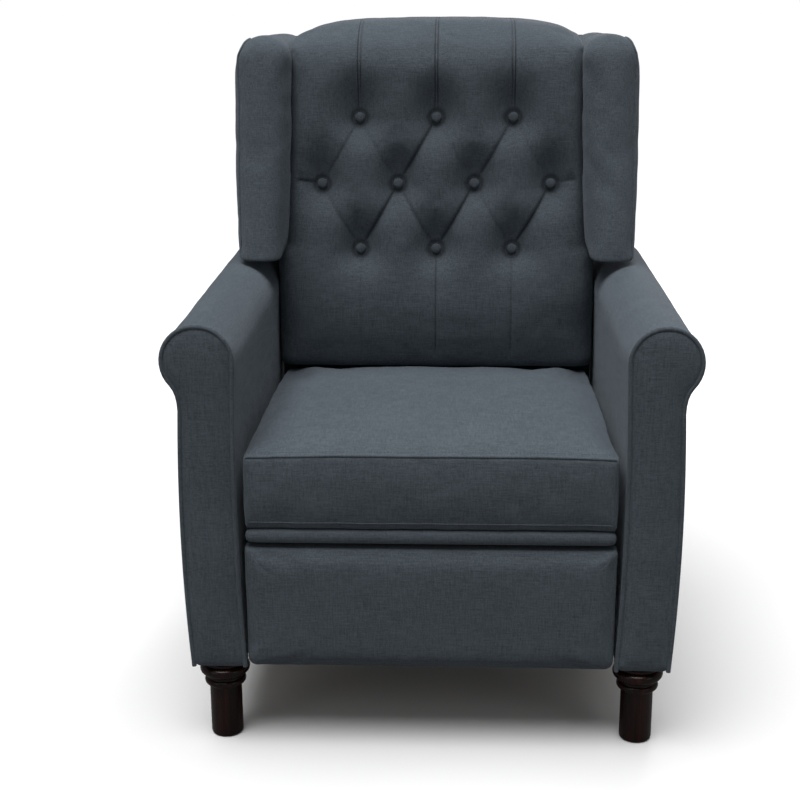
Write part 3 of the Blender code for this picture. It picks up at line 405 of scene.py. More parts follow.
def maths(tree, operation, a, b):
    """A Math node fed by sockets or numbers; returns its output."""
    return add_node(tree, "ShaderNodeMath", {0: a, 1: b}, operation=operation).outputs[0]


def eased(tree, value, times, plus):
    """value times a number, plus a number."""
    return maths(tree, "ADD", maths(tree, "MULTIPLY", value, times), plus)


def scaled(tree, vector, factors):
    return add_node(tree, "ShaderNodeVectorMath", {0: vector, 1: factors}, operation="MULTIPLY").outputs[0]


def noise(tree, vector, scale, detail=2.0, roughness=0.5):
    return add_node(tree, "ShaderNodeTexNoise", {"Vector": vector, "Scale": scale, "Detail": detail,
                                                 "Roughness": roughness}).outputs["Fac"]


def ramp(tree, value, stops):
    made = add_node(tree, "ShaderNodeValToRGB")
    tree.links.new(value, made.inputs[0])
    elements = made.color_ramp.elements
    while len(elements) < len(stops):
        elements.new(0.5)
    for element, (position, colour) in zip(elements, stops):
        element.position, element.color = position, colour
    return made.outputs["Color"]


def new_group(name, inputs, outputs):
    """A shader node group over a vector, with named numbers in and out."""
    tree = bpy.data.node_groups.new(name, "ShaderNodeTree")
    tree.interface.new_socket("Vector", in_out="INPUT", socket_type="NodeSocketVector")
    for label, default in inputs.items():
        tree.interface.new_socket(label, in_out="INPUT", socket_type="NodeSocketFloat").default_value = default
    for label in outputs:
        tree.interface.new_socket(label, in_out="OUTPUT", socket_type="NodeSocketFloat")
    return tree, tree.nodes.new("NodeGroupInput").outputs, tree.nodes.new("NodeGroupOutput").inputs


def woven_yarns():
    """Streaks of light and dark yarn both ways of the cloth, slow shading, and the height of the weave."""
    tree, source, result = new_group("Woven Yarns", {"Yarn Length": 52.0, "Yarn Width": 520.0, "Contrast": 0.3},
                                     ("Shade", "Height"))
    vector, total = source["Vector"], None
    cloud_scale, thread_rate = 14.0, 5200.0
    for axis in range(3):
        join = add_node(tree, "ShaderNodeCombineXYZ",
                        {k: source["Yarn Length" if k == axis else "Yarn Width"] for k in range(3)})
        streak = noise(tree, scaled(tree, vector, join.outputs[0]), 1.0, 1.5)
        total = streak if total is None else maths(tree, "ADD", total, streak)
    yarns = maths(tree, "SUBTRACT", total, 1.5)
    clouds = maths(tree, "SUBTRACT", noise(tree, vector, cloud_scale, 3.0), 0.5)
    shade = eased(tree, yarns, source["Contrast"], 1.0)
    wire(tree, maths(tree, "ADD", shade, maths(tree, "MULTIPLY", clouds, 0.26)), result["Shade"])
    parts = add_node(tree, "ShaderNodeSeparateXYZ", {0: scaled(tree, vector, (thread_rate,) * 3)})
    waves = [maths(tree, "SINE", parts.outputs[k], None) for k in range(3)]
    weave = None
    for a, b in ((0, 2), (0, 1), (1, 2)):
        pair = maths(tree, "MULTIPLY", waves[a], waves[b])
        weave = pair if weave is None else maths(tree, "ADD", weave, pair)
    wire(tree, eased(tree, weave, 0.22, yarns), result["Height"])
    return tree


def worn_edges():
    """A mask that is 1 on rubbed edges and in a few scuffs, and fades into the faces."""
    tree, source, result = new_group("Worn Edges", {"Width": 0.0012, "Amount": 0.5}, ("Mask",))
    rounded = add_node(tree, "ShaderNodeBevel", {"Radius": source["Width"]}, samples=4)
    sharp = add_node(tree, "ShaderNodeNewGeometry")
    facing = add_node(tree, "ShaderNodeVectorMath", {0: rounded.outputs["Normal"], 1: sharp.outputs["Normal"]},
                      operation="DOT_PRODUCT")
    edge = maths(tree, "MULTIPLY", maths(tree, "SUBTRACT", 1.0, facing.outputs["Value"]), 6.0)
    scuffs = maths(tree, "MULTIPLY", noise(tree, source["Vector"], 160.0, 4.0, 0.65), 1.6)
    mask = maths(tree, "MULTIPLY", maths(tree, "MULTIPLY", edge, scuffs), source["Amount"])
    wire(tree, add_node(tree, "ShaderNodeClamp", {"Value": mask}).outputs[0], result["Mask"])
    return tree


def wood_grain():
    """Long growth lines and short pores along Z or, with the vector turned, along any axis."""
    tree, source, result = new_group("Wood Grain", {"Line Scale": 60.0}, ("Lines", "Pores"))
    lines = add_node(tree, "ShaderNodeTexNoise", {
        "Vector": scaled(tree, source["Vector"], (1.0, 1.0, 0.06)), "Scale": source["Line Scale"],
        "Detail": 5.0, "Distortion": 0.8})
    wire(tree, lines.outputs["Fac"], result["Lines"])
    wire(tree, noise(tree, scaled(tree, source["Vector"], (1.0, 1.0, 0.03)), 900.0), result["Pores"])
    return tree


def start_material(name, **constants):
    """A material with its constants on the shader's own sockets, and Object coordinates at hand."""
    material = bpy.data.materials.new(name)
    material.use_nodes = True
    tree = material.node_tree
    shader = tree.nodes["Principled BSDF"]
    for label, value in constants.items():
        shader.inputs[label.replace("_", " ")].default_value = value
    place = add_node(tree, "ShaderNodeTexCoord").outputs["Object"]
    return material, tree, shader, place


def use_group(tree, group, vector, **values):
    feeds = {label.replace("_", " "): value for label, value in values.items()}
    return add_node(tree, "ShaderNodeGroup", {"Vector": vector, **feeds}, node_tree=group).outputs


def bump(tree, shader, height, strength, distance):
    made = add_node(tree, "ShaderNodeBump", {"Strength": strength, "Distance": distance, "Height": height})
    wire(tree, made.outputs[0], shader.inputs["Normal"])


def tint(tree, colour, factor):
    """colour times a grey factor."""
    return add_node(tree, "ShaderNodeVectorMath", {0: tuple(colour)[:3], "Scale": factor},
                    operation="SCALE").outputs[0]


def fabric_finish(name, colour, heather, crease_with_painted_shade=False):
    """Heathered plain weave: yarn streaks, soft shading and a fine nap; the back's version also darkens the cloth
    with painted shade in its folds and round its buttons.
    """
    material, tree, shader, place = start_material(
        name, Roughness=0.93, Sheen_Weight=0.22, Sheen_Roughness=0.42, Specular_IOR_Level=0.25)
    shader.inputs["Sheen Tint"].default_value = (0.72, 0.82, 0.92, 1.0)
    yarns = use_group(tree, GROUPS["yarns"], place, Contrast=heather)
    shade = yarns["Shade"]
    # Painted shade: darkens the cloth where the tufting wrote its painted shade mask, in the folds, along the pleat
    # edges and round the buttons.
    if crease_with_painted_shade:
        fold = add_node(tree, "ShaderNodeAttribute", attribute_name="fold")
        shade = maths(tree, "MULTIPLY", shade, maths(tree, "SUBTRACT", 1.0, fold.outputs["Fac"]))
    wire(tree, tint(tree, colour, shade), shader.inputs["Base Color"])
    bump(tree, shader, yarns["Height"], 0.55, 0.0006)
    return material


def leg_finish(name, colour):
    """Dark stained hardwood under a glossy lacquer."""
    material, tree, shader, place = start_material(
        name, Coat_Weight=0.18, Coat_Roughness=0.12, Specular_IOR_Level=0.22)
    grain = use_group(tree, GROUPS["grain"], place, Line_Scale=90.0)
    red = (colour[0] * 2.6, colour[1] * 1.7, colour[2] * 1.4, 1)
    dark = (colour[0] * 0.45, colour[1] * 0.5, colour[2] * 0.6, 1)
    wire(tree, ramp(tree, grain["Lines"], ((0.32, dark), (0.52, tuple(colour)), (0.70, red))),
         shader.inputs["Base Color"])
    wear = use_group(tree, GROUPS["wear"], place, Width=0.0015, Amount=0.25)
    rough = eased(tree, grain["Pores"], 0.16, 0.20)
    wire(tree, maths(tree, "ADD", rough, maths(tree, "MULTIPLY", wear["Mask"], 0.15)),
         shader.inputs["Roughness"])
    bump(tree, shader, grain["Pores"], 0.25, 0.0003)
    return material


def timber_finish(name, colour):
    """Bare frame timber with growth lines, pores and rubbed edges."""
    material, tree, shader, place = start_material(name)
    turned = add_node(tree, "ShaderNodeMapping", {"Rotation": (radians(90), 0, radians(90)), "Vector": place})
    grain = use_group(tree, GROUPS["grain"], turned.outputs[0], Line_Scale=42.0)
    pale, deep = tuple(min(1, c * 1.25) for c in colour[:3]) + (1,), tuple(c * 0.62 for c in colour[:3]) + (1,)
    wire(tree, ramp(tree, grain["Lines"], ((0.30, pale), (0.50, tuple(colour)), (0.72, deep))),
         shader.inputs["Base Color"])
    wear = use_group(tree, GROUPS["wear"], place, Width=0.002, Amount=0.4)
    rough = maths(tree, "SUBTRACT", maths(tree, "ADD", 0.58, maths(tree, "MULTIPLY", grain["Pores"], 0.25)),
                  maths(tree, "MULTIPLY", wear["Mask"], 0.2))
    wire(tree, rough, shader.inputs["Roughness"])
    bump(tree, shader, grain["Pores"], 0.4, 0.0005)
    return material


def steel_finish(name, paint):
    """Powder-coated steel, with bare metal where edges rub."""
    material, tree, shader, place = start_material(name)
    wear = use_group(tree, GROUPS["wear"], place, Width=0.0009, Amount=0.9)
    mask = wear["Mask"]
    wire(tree, ramp(tree, mask, ((0.25, tuple(paint)), (0.75, (0.32, 0.31, 0.30, 1)))), shader.inputs["Base Color"])
    wire(tree, maths(tree, "MULTIPLY", mask, 0.9), shader.inputs["Metallic"])
    peel = noise(tree, place, 700.0, 2.0)
    wire(tree, eased(tree, peel, 0.2, 0.36), shader.inputs["Roughness"])
    bump(tree, shader, peel, 0.25, 0.0003)
    return material


def wire_finish(name):
    """Zinc-plated spring wire with dull spots."""
    material, tree, shader, place = start_material(name, Metallic=1.0)
    spots = noise(tree, place, 260.0, 4.0, 0.6)
    wire(tree, ramp(tree, spots, ((0.35, (0.30, 0.30, 0.31, 1)), (0.65, (0.58, 0.58, 0.60, 1)))),
         shader.inputs["Base Color"])
    wire(tree, eased(tree, spots, 0.3, 0.2), shader.inputs["Roughness"])
    bump(tree, shader, spots, 0.15, 0.0002)
    return material


def felt_finish(name):
    """Thin black spun dust cloth with pressed dots."""
    material, tree, shader, place = start_material(name, Sheen_Weight=0.1)
    dots = add_node(tree, "ShaderNodeTexVoronoi", {"Vector": place, "Scale": 420.0})
    fibres = noise(tree, place, 300.0, 5.0, 0.7)
    wire(tree, ramp(tree, fibres, ((0.3, (0.006, 0.006, 0.007, 1)), (0.8, (0.022, 0.022, 0.024, 1)))),
         shader.inputs["Base Color"])
    wire(tree, eased(tree, fibres, 0.3, 0.65), shader.inputs["Roughness"])
    bump(tree, shader, dots.outputs["Distance"], 0.5, 0.0004)
    return material


# ================================================================ Geometry Nodes tools
def path_tree(name, inputs, build):
    """A Geometry Nodes tree over points or a line of edges. build(tree, inputs) returns what it makes."""
    tree = bpy.data.node_groups.new(name, "GeometryNodeTree")
    tree.interface.new_socket("Geometry", in_out="INPUT", socket_type="NodeSocketGeometry")
    for label, default in inputs.items():
        tree.interface.new_socket(label, in_out="INPUT", socket_type="NodeSocketFloat").default_value = default
    tree.interface.new_socket("Material", in_out="INPUT", socket_type="NodeSocketMaterial")
    tree.interface.new_socket("Geometry", in_out="OUTPUT", socket_type="NodeSocketGeometry")
    source, result = tree.nodes.new("NodeGroupInput").outputs, tree.nodes.new("NodeGroupOutput").inputs
    real = add_node(tree, "GeometryNodeRealizeInstances", {0: build(tree, source)})
    finish = add_node(tree, "GeometryNodeSetMaterial", {"Geometry": real.outputs[0], "Material": source["Material"]})
    wire(tree, finish.outputs[0], result[0])
    return tree


def run_tree(name, tree, points, edges, material, **values):
    """Runs a tree on a line of edges, and keeps the result as a plain mesh object."""
    mesh = bpy.data.meshes.new(name + "_path")
    mesh.from_pydata([tuple(p) for p in points], edges, [])
    source = add_object(name + "_path", mesh)
    modifier = source.modifiers.new("nodes", "NODES")
    modifier.node_group = tree
    for item in tree.interface.items_tree:
        if item.item_type != "SOCKET" or item.in_out != "INPUT":
            continue
        if item.name == "Material":
            modifier[item.identifier] = material
        elif item.name.replace(" ", "_") in values:
            modifier[item.identifier] = values[item.name.replace(" ", "_")]
    graph = bpy.context.evaluated_depsgraph_get()
    made = bpy.data.meshes.new_from_object(source.evaluated_get(graph))
    source.modifiers.clear()
    bpy.data.objects.remove(source)
    return shade_smooth(add_object(name, made))


def stitch_tree():
    """Short rounded stitches laid end to end along a line."""
    def build(tree, source):
        curve = add_node(tree, "GeometryNodeMeshToCurve", {0: source["Geometry"]})
        spots = add_node(tree, "GeometryNodeCurveToPoints", {"Curve": curve.outputs[0], "Length": source["Pitch"]},
                         mode="LENGTH").outputs
        bead = add_node(tree, "GeometryNodeMeshUVSphere", {"Segments": 6, "Rings": 4, "Radius": 0.5})
        size = add_node(tree, "ShaderNodeCombineXYZ",
                        {0: source["Thread"], 1: source["Thread"], 2: source["Stitch Length"]})
        return add_node(tree, "GeometryNodeInstanceOnPoints", {
            "Points": spots["Points"], "Instance": bead.outputs["Mesh"], "Rotation": spots["Rotation"],
            "Scale": size.outputs[0]}).outputs[0]
    return path_tree("Stitch Row", {"Stitch Length": 0.0034, "Thread": THREAD, "Pitch": 0.0045}, build)


def welt_tree():
    """A covered cord swept along a line."""
    def build(tree, source):
        curve = add_node(tree, "GeometryNodeMeshToCurve", {0: source["Geometry"]})
        circle = add_node(tree, "GeometryNodeCurvePrimitiveCircle", {"Resolution": 10, "Radius": source["Radius"]})
        return add_node(tree, "GeometryNodeCurveToMesh", {
            "Fill Caps": True, "Curve": curve.outputs[0], "Profile Curve": circle.outputs["Curve"]}).outputs[0]
    return path_tree("Welt Cord", {"Radius": 0.0027}, build)


def scatter_tree(name, form, low, high, seed):
    """Copies of a form on points, leaned by an input and twisted by a fixed random angle from low to high."""
    def build(tree, source):
        info = add_node(tree, "GeometryNodeObjectInfo", {"Object": form})
        twist = add_node(tree, "FunctionNodeRandomValue", {2: low, 3: high, "Seed": seed}, data_type="FLOAT")
        spin = add_node(tree, "ShaderNodeCombineXYZ", {0: source["Lean"], 1: twist.outputs[1]})
        return add_node(tree, "GeometryNodeInstanceOnPoints", {
            "Points": source["Geometry"], "Instance": info.outputs["Geometry"], "Rotation": spin.outputs[0],
            "Scale": source["Size"]}).outputs[0]
    return path_tree(name, {"Size": 1.0, "Lean": 0.0}, build)


def row_of_edges(paths):
    """Joins several point paths into one list of points and edges."""
    points, edges = [], []
    for path in paths:
        start = len(points)
        points += list(path)
        edges += [(start + i, start + i + 1) for i in range(len(path) - 1)]
    return points, edges


def lay_cord(name, path, radius, body):
    """A covered cord along a path."""
    return settle(run_tree(name, GROUPS["welt"], *row_of_edges([path]), FINISHES["fabric"], Radius=radius), body)


def sew(name, path, body):
    """A row of stitches along a path, in the cover's own thread."""
    length = bpy.context.scene.recliner_shape.stitch_length
    return settle(run_tree(name, GROUPS["stitch"], *row_of_edges([path]), FINISHES["fabric"], Stitch_Length=length,
                           Thread=THREAD, Pitch=length * STITCH_PITCH), body)


# ================================================================ the seat
RECESS_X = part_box("right_seat_plate")[1].x + 0.0040
SEAT_SIDE_DROOP = 0.0035


def seat_droop(x):
    """How far the seat's top edge falls towards its sides."""
    return SEAT_SIDE_DROOP * (abs(x) / SEAT_HIGH.x) ** 3


def seat_ring(x):
    """The seat pad's side outline at a place across it; between the side walls it leaves the frame's recess open."""
    open_below = abs(x) < RECESS_X
    front, rear = SEAT_LOW.y, SEAT_HIGH.y
    droop = seat_droop(x)
    seam_z = SEAT_HIGH.z - 0.0040 - droop
    rear_z = SEAT_HIGH.z - 0.0215 - droop
    foot_z = BAND_HIGH.z + 0.0004
    crown_z = SEAT_HIGH.z + 0.001 - droop * 1.5
    outline = resample([(front + 0.004, foot_z), (front + 0.0005, foot_z + 0.006), (front, foot_z + 0.03),
                        (front, seam_z - 0.010), (front + 0.001, seam_z - 0.004), (front + 0.005, seam_z)], 0.010)
    top = bow((front + 0.010, seam_z + 0.001), ((front + rear) / 2, crown_z + 0.006), (rear - 0.022, rear_z), 46)
    outline += top + [(rear - 0.010, rear_z - 0.003), (rear - 0.002, rear_z - 0.012), (rear, rear_z - 0.030)]
    low = SEAT_LOW.z
    roof = SEAT_FRAME_HIGH.z + 0.0066 if open_below else low
    frame_rear, frame_front, band_y = SEAT_FRAME_HIGH.y + 0.0145, SEAT_FRAME_LOW.y - 0.0004, BAND_HIGH.y + 0.0004
    outline += [(rear, (rear_z + low) / 2), (rear, low + 0.004), (rear - 0.002, low), (frame_rear, low)]
    outline += [(frame_rear, roof)] + resample([(frame_rear, roof), (frame_front, roof)], 0.05)[1:]
    outline += [(frame_front, low), (band_y, low), (band_y, foot_z)]
    return [(x, y, z) for y, z in outline]


class RECLINER_OT_seat_pad(bpy.types.Operator):
    """Box seat pad with a crowned top, boxed front and a sewn top edge"""

    bl_idname = "recliner.seat_pad"
    bl_label = "Seat Pad"

    def execute(self, context):
        half = SEAT_HIGH.x
        places = [RECESS_X + 0.0002, half - 0.004]
        xs = [x for x, _ in resample([(-RECESS_X + 0.0002, 0), (RECESS_X - 0.0002, 0)], 0.011)]
        xs = [-p for p in reversed(places)] + xs + places
        rings = [seat_ring(x) for x in xs]
        centre = Vector((0, (SEAT_LOW.y + SEAT_HIGH.y) / 2, (SEAT_LOW.z + SEAT_HIGH.z) / 2))
        for x_end, share in ((half - 0.0012, 0.012), (half - 0.0001, 0.035), (half, 0.10), (half, 0.4), (half, 0.8)):
            for side in (-1, 1):
                ring = seat_ring(side * half)
                inner = [(side * x_end, centre.y + (y - centre.y) * (1 - share),
                          centre.z + (z - centre.z) * (1 - share)) for _, y, z in ring]
                rings = [inner] + rings if side < 0 else rings + [inner]
        pad = loft("seat_pad", rings)
        seam_z = SEAT_HIGH.z - 0.006
        puff = context.scene.recliner_shape.seat_puff
        roof = SEAT_FRAME_HIGH.z + 0.012

        def held(p):
            below = p.z < roof and SEAT_FRAME_LOW.y - 0.002 < p.y < SEAT_HIGH.y - 0.004 and abs(p.x) < half - 0.002
            seam = p.y < SEAT_LOW.y + 0.012 and p.z > seam_z - 0.012
            return below or seam or p.z < BAND_HIGH.z + 0.002

        def cap(p):
            if abs(p.x) > half - 0.003:
                return 0.004
            return 0.006 if p.y < SEAT_LOW.y + 0.006 else puff

        inflate(pad, cap, held)
        ruffle(subdivide(pad), 0.0015, 0.06, 1)
        settle(pad, "seat", ["seat_cushion"])

        def across(inset, out, z, lift):
            """A line over the pad from side to side, near its front."""
            line = [Vector((x, SEAT_LOW.y + out, z(x))) for x in np.linspace(inset - half, half - inset, 90)]
            return on_surface(pad, line, lift)

        seam = across(0.004, 0.0028, lambda x: SEAT_HIGH.z - 0.0045 - seat_droop(x), 0.0004)
        lay_cord("seat_top_seam", seam, 0.0021, "seat")
        lay_cord("seat_boxing_seam", across(0.006, -0.01, lambda x: BAND_HIGH.z + 0.0085, 0.0), 0.0010, "seat")
        sew("seat_top_stitches", across(0.008, 0.011, lambda x: SEAT_HIGH.z - 0.002, 0.0), "seat")
        return {"FINISHED"}


class RECLINER_OT_seat_band(bpy.types.Operator):
    """Narrow stuffed roll under the seat's boxed front"""

    bl_idname = "recliner.seat_band"
    bl_label = "Seat Front Roll"

    def execute(self, context):
        low, high = BAND_LOW, BAND_HIGH
        middle, half_height = (low.z + high.z) / 2, (high.z - low.z) / 2
        ends = ((0, 0), (0.0006, 0.5), (0.003, 0.85))
        body = [(0.010 + k * 0.012, 1.0) for k in range(42)]
        rings = [(low.x + x, share) for x, share in (*ends, *body) if x <= high.x * 2 - 0.010]
        rings += [(high.x - x, share) for x, share in reversed(ends)]
        made, around = [], 20
        for x, share in rings:
            wave = 1 + 0.05 * sin(x * 61.0) * sin(x * 23.0 + 1.0)
            ring = []
            for k in range(around):
                a = 2 * pi * k / around
                depth = cos(a)
                y = high.y - (high.y - low.y) * (0.5 + 0.5 * depth * wave if depth > 0 else 0.5 + 0.5 * depth)
                z = middle + half_height * 0.98 * squared(sin(a), 0.8)
                cy = high.y - (high.y - low.y) * 0.45
                ring.append((x, cy + (y - cy) * max(share, 0.02), middle + (z - middle) * max(share, 0.02)))
            made.append(ring)
        settle(subdivide(loft("seat_front_roll", made)), "seat", ["seat_front_band"])
        return {"FINISHED"}


# ================================================================ the arms
def arm_outline():
    """The right arm's front outline from its inner foot, over the roll, to its outer foot."""
    inner, bottom = ARM_LOW.x, ARM_LOW.z - 0.0042
    foot_in, foot_out = (inner, bottom), (inner + 0.073, bottom)
    neck = (inner + 0.0755, ARM_HIGH.z - 0.117)
    bulge = (inner + 0.160 - 0.07425, (bottom + neck[1]) / 2)
    roll = arc((ROLL_X, ROLL_Z), ROLL_RADIUS, 180, -42, 24)
    outline = bow(foot_in, (inner + 0.012, (bottom + ROLL_Z) / 2), roll[0], 36)[:-1] + roll
    outline += bow(roll[-1], (neck[0], roll[-1][1] - 0.012), neck, 4)[1:]
    outline += bow(neck, bulge, foot_out, 30)[1:]
    return outline


def arm_spine(point):
    """The line inside an arm that its ends close on."""
    x, y, z = point
    middle = ARM_LOW.x + 0.037
    top = ROLL_Z - 0.06
    side = 1 if x > 0 else -1
    if z > top:
        share = min(1.0, (z - top) / 0.06)
        return (side * (middle + (ROLL_X - middle) * share), y, min(z, ROLL_Z))
    return (side * middle, y, max(z, ARM_LOW.z + 0.036))


class RECLINER_OT_arms(bpy.types.Operator):
    """Two rolled arms with padded front panels, covered welts and sewn seams"""

    bl_idname = "recliner.arms"
    bl_label = "Rolled Arms"

    def execute(self, context):
        shape = context.scene.recliner_shape
        outline = arm_outline()
        floor_line = resample([outline[-1], outline[0]], 0.012)[1:-1]
        front, rear = ARM_LOW.y, ARM_HIGH.y
        for name, side in SIDES:
            ring = lambda y: [(side * x, y, z) for x, z in outline + floor_line]
            rings = []
            for share, depth in ((0.80, 0.0), (0.6, 0.0), (0.34, 0.0004), (0.16, 0.0014), (0.06, 0.0032)):
                rings.append(drawn_in(ring(front + depth), arm_spine, share))
            ys = [front + 0.0055, front + 0.009] + [front + 0.016 + k * 0.0125 for k in range(60)]
            ys = [y for y in ys if y < rear - 0.010] + [rear - 0.006]
            rings += [ring(y) for y in ys]
            for share, depth in ((0.04, 0.003), (0.12, 0.0008), (0.4, 0.0), (0.80, 0.0)):
                rings.append(drawn_in(ring(rear - depth), arm_spine, share))
            arm = loft(name + "_arm_upholstery", rings, "zip", len(outline))

            def held(p):
                seam = front + 0.0035 < p.y < front + 0.010
                return seam or p.y > rear - 0.004 or p.z < ARM_LOW.z

            def cap(p):
                if abs(p.x) < ARM_LOW.x + 0.010 and p.y > front + 0.003:
                    return 0.0022
                foot = smoothstep(ARM_LOW.z - 0.002, ARM_LOW.z + 0.045, p.z)
                return (shape.trim_puff if p.y < front + 0.02 else shape.trim_puff * 0.6) * max(0.05, foot)

            inflate(arm, cap, held)
            ruffle(subdivide(arm), 0.0007, 0.08, 2)
            settle(arm, "base", [name + "_arm_cover"])
            seam = [(side * (x + (ROLL_X - x) * 0.004), front + 0.0052, z) for x, z in outline]
            lay_cord(name + "_arm_welt", seam, shape.welt_radius, "base")
        return {"FINISHED"}


# ================================================================ the footrest
def panel_ring(inset, y, corner=0.013):
    """The footrest's rounded outline, drawn inwards."""
    x1, z0, z1 = PAD_HIGH.x - inset, PAD_LOW.z + inset, PAD_HIGH.z - inset
    r = max(0.0005, corner - inset * 0.5)
    top_r = max(0.0005, r * 0.45)
    path = [arc((cx, cz), radius, a0, a0 + 90, 4) for cx, cz, radius, a0 in (
        (x1 - r, z0 + r, r, 270), (x1 - top_r, z1 - top_r, top_r, 0), (-x1 + top_r, z1 - top_r, top_r, 90),
        (-x1 + r, z0 + r, r, 180))]
    out = []
    for k in range(4):
        out += path[k]
        a, b = Vector(path[k][-1]), Vector(path[(k + 1) % 4][0])
        steps = (14, 44, 14, 44)[k]
        out += [tuple(a.lerp(b, j / steps)) for j in range(1, steps)]
    middle = 5 + 7
    out = out[middle:] + out[:middle]
    return [(x, y, z) for x, z in out]


class RECLINER_OT_footrest(bpy.types.Operator):
    """Padded footrest panel with boxed edges"""

    bl_idname = "recliner.footrest"
    bl_label = "Footrest Panel"

    def execute(self, context):
        front, rear = PAD_LOW.y, PAD_HIGH.y
        half_height = (PAD_HIGH.z - PAD_LOW.z) / 2
        rings = [panel_ring(half_height - 0.006, front)]
        rings += [panel_ring(inset, front + rise) for inset, rise in
                  ((0.078, 0.0), (0.064, 0.0), (0.050, 0.0001), (0.038, 0.0003), (0.026, 0.0006), (0.016, 0.0008),
                   (0.009, 0.0012), (0.004, 0.0024), (0.0012, 0.0048), (0.0, 0.0090), (0.0, 0.016), (0.0, 0.025))]
        rings += [panel_ring(inset, rear - rise) for inset, rise in
                  ((0.0006, 0.004), (0.003, 0.001), (0.008, 0.0), (0.03, 0.0), (half_height - 0.006, 0.0))]
        pad = loft("footrest_upholstery", rings, "zip")
        puff = context.scene.recliner_shape.trim_puff
        inflate(pad, lambda p: puff if p.y < front + 0.004 else 0.0015, lambda p: p.y > rear - 0.006)
        ruffle(subdivide(pad), 0.0008, 0.06, 3)
        settle(pad, "footrest", ["footrest_pad"])
        return {"FINISHED"}


# ================================================================ the back
def back_half_width(z):
    """Half width of the back pad: full between the arms, narrower between the wings."""
    low = ARM_LOW.x - 0.0022
    between_wings = wing_edges(max(z, WING_LOW.z))[0] - 0.0008
    return low + (between_wings - low) * smoothstep(WING_LOW.z - 0.004, WING_LOW.z + 0.014, z)


def fullness(x, z):
    """How far the stuffing stands in front of the buttons' plane."""
    shape = bpy.context.scene.recliner_shape
    drawn = 0.0
    for b in BUTTONS.values():
        rise = z - b.z
        reach = rise * (0.60 if rise > 0 else 1.1)
        drawn = max(drawn, exp(-(hypot(x - b.x, reach) / 0.032) ** 1.7))
    return shape.back_depth * smoothstep(BACK_LOW.z, BACK_LOW.z + 0.15, z) * (1 - 0.92 * drawn)


def back_outline():
    """The back pad's side outline at its middle, up the front, over the top and down against the frame."""
    low, top = BACK_LOW.z - 0.0055, BACK_HIGH.z - 0.006
    gap = 0.006
    notch_y, notch_z = FRONT_Y + 0.575, BACK_LOW.z + 0.043
    turn_z = top - 0.052
    front = resample([(face_y(low + 0.016), low + 0.016), (face_y(turn_z), turn_z)], 0.0088)
    over = bow((face_y(turn_z), turn_z), (face_y(top) + 0.004, top - 0.002), (face_y(top) + 0.060, top), 9)[1:]
    roof = resample([over[-1], (frame_front_y(top) - 0.018, top)], 0.016)[1:]
    rear_y, shelf = frame_rear_y(FRAME_HIGH.z) - 0.004, FRAME_HIGH.z + gap
    behind = bow(roof[-1], (rear_y - 0.002, top), (rear_y, top - 0.030), 5)[1:] + [(rear_y, shelf + 0.002)]
    under = resample([(rear_y - 0.002, shelf), (frame_front_y(shelf) - gap, shelf)], 0.03)
    down = resample([(frame_front_y(shelf) - gap, shelf), (frame_front_y(notch_z) - gap, notch_z)], 0.06)[1:]
    foot = [(notch_y, notch_z), (notch_y, low)] + resample([(notch_y, low), (face_y(low) + 0.016, low)], 0.03)[1:]
    foot += [(face_y(low) + 0.005, low + 0.004)]
    return front + over + roof + behind + under + down + foot


def back_columns():
    """Places across the back, closer together beside the upright pleats."""
    near = [0.0, 0.0016, 0.0034, 0.0062]
    pleats = sorted({round(b.x, 4) for b in BUTTONS.values() if abs(b.z - TOP_ROW.z) < 0.01})
    columns = {round(p + s * d, 5) for p in pleats for d in near for s in (-1, 1)}
    k = -PAD_HALF
    while k <= PAD_HALF + 1e-6:
        if all(abs(k - p) > 0.010 for p in pleats):
            columns.add(round(k, 5))
        k += PAD_HALF / 23
    return sorted(columns)


PLEATS = {
    ("1_1", "2_1"): 0.35, ("1_2", "2_2"): 1.0, ("1_3", "2_3"): 0.75,
    ("2_2", "3_1"): 1.0, ("2_3", "3_2"): 1.0, ("2_4", "3_3"): 1.0,
    ("1_1", "2_2"): 0.20, ("1_2", "2_3"): 0.15, ("1_3", "2_4"): 0.15,
    ("2_1", "3_1"): 0.35, ("2_2", "3_2"): 0.50, ("2_3", "3_3"): 0.25,
}


def fold_profile(distance, short, long):
    """The depth of a groove across its line: steep on one side, easy on the other."""
    return np.where(distance > 0, np.exp(-np.abs(distance / short) ** 1.3), np.exp(-np.abs(distance / long)))


def bell(distance, width):
    """1 on the line, easing to nothing a few widths away."""
    return np.exp(-(distance / width) ** 2)


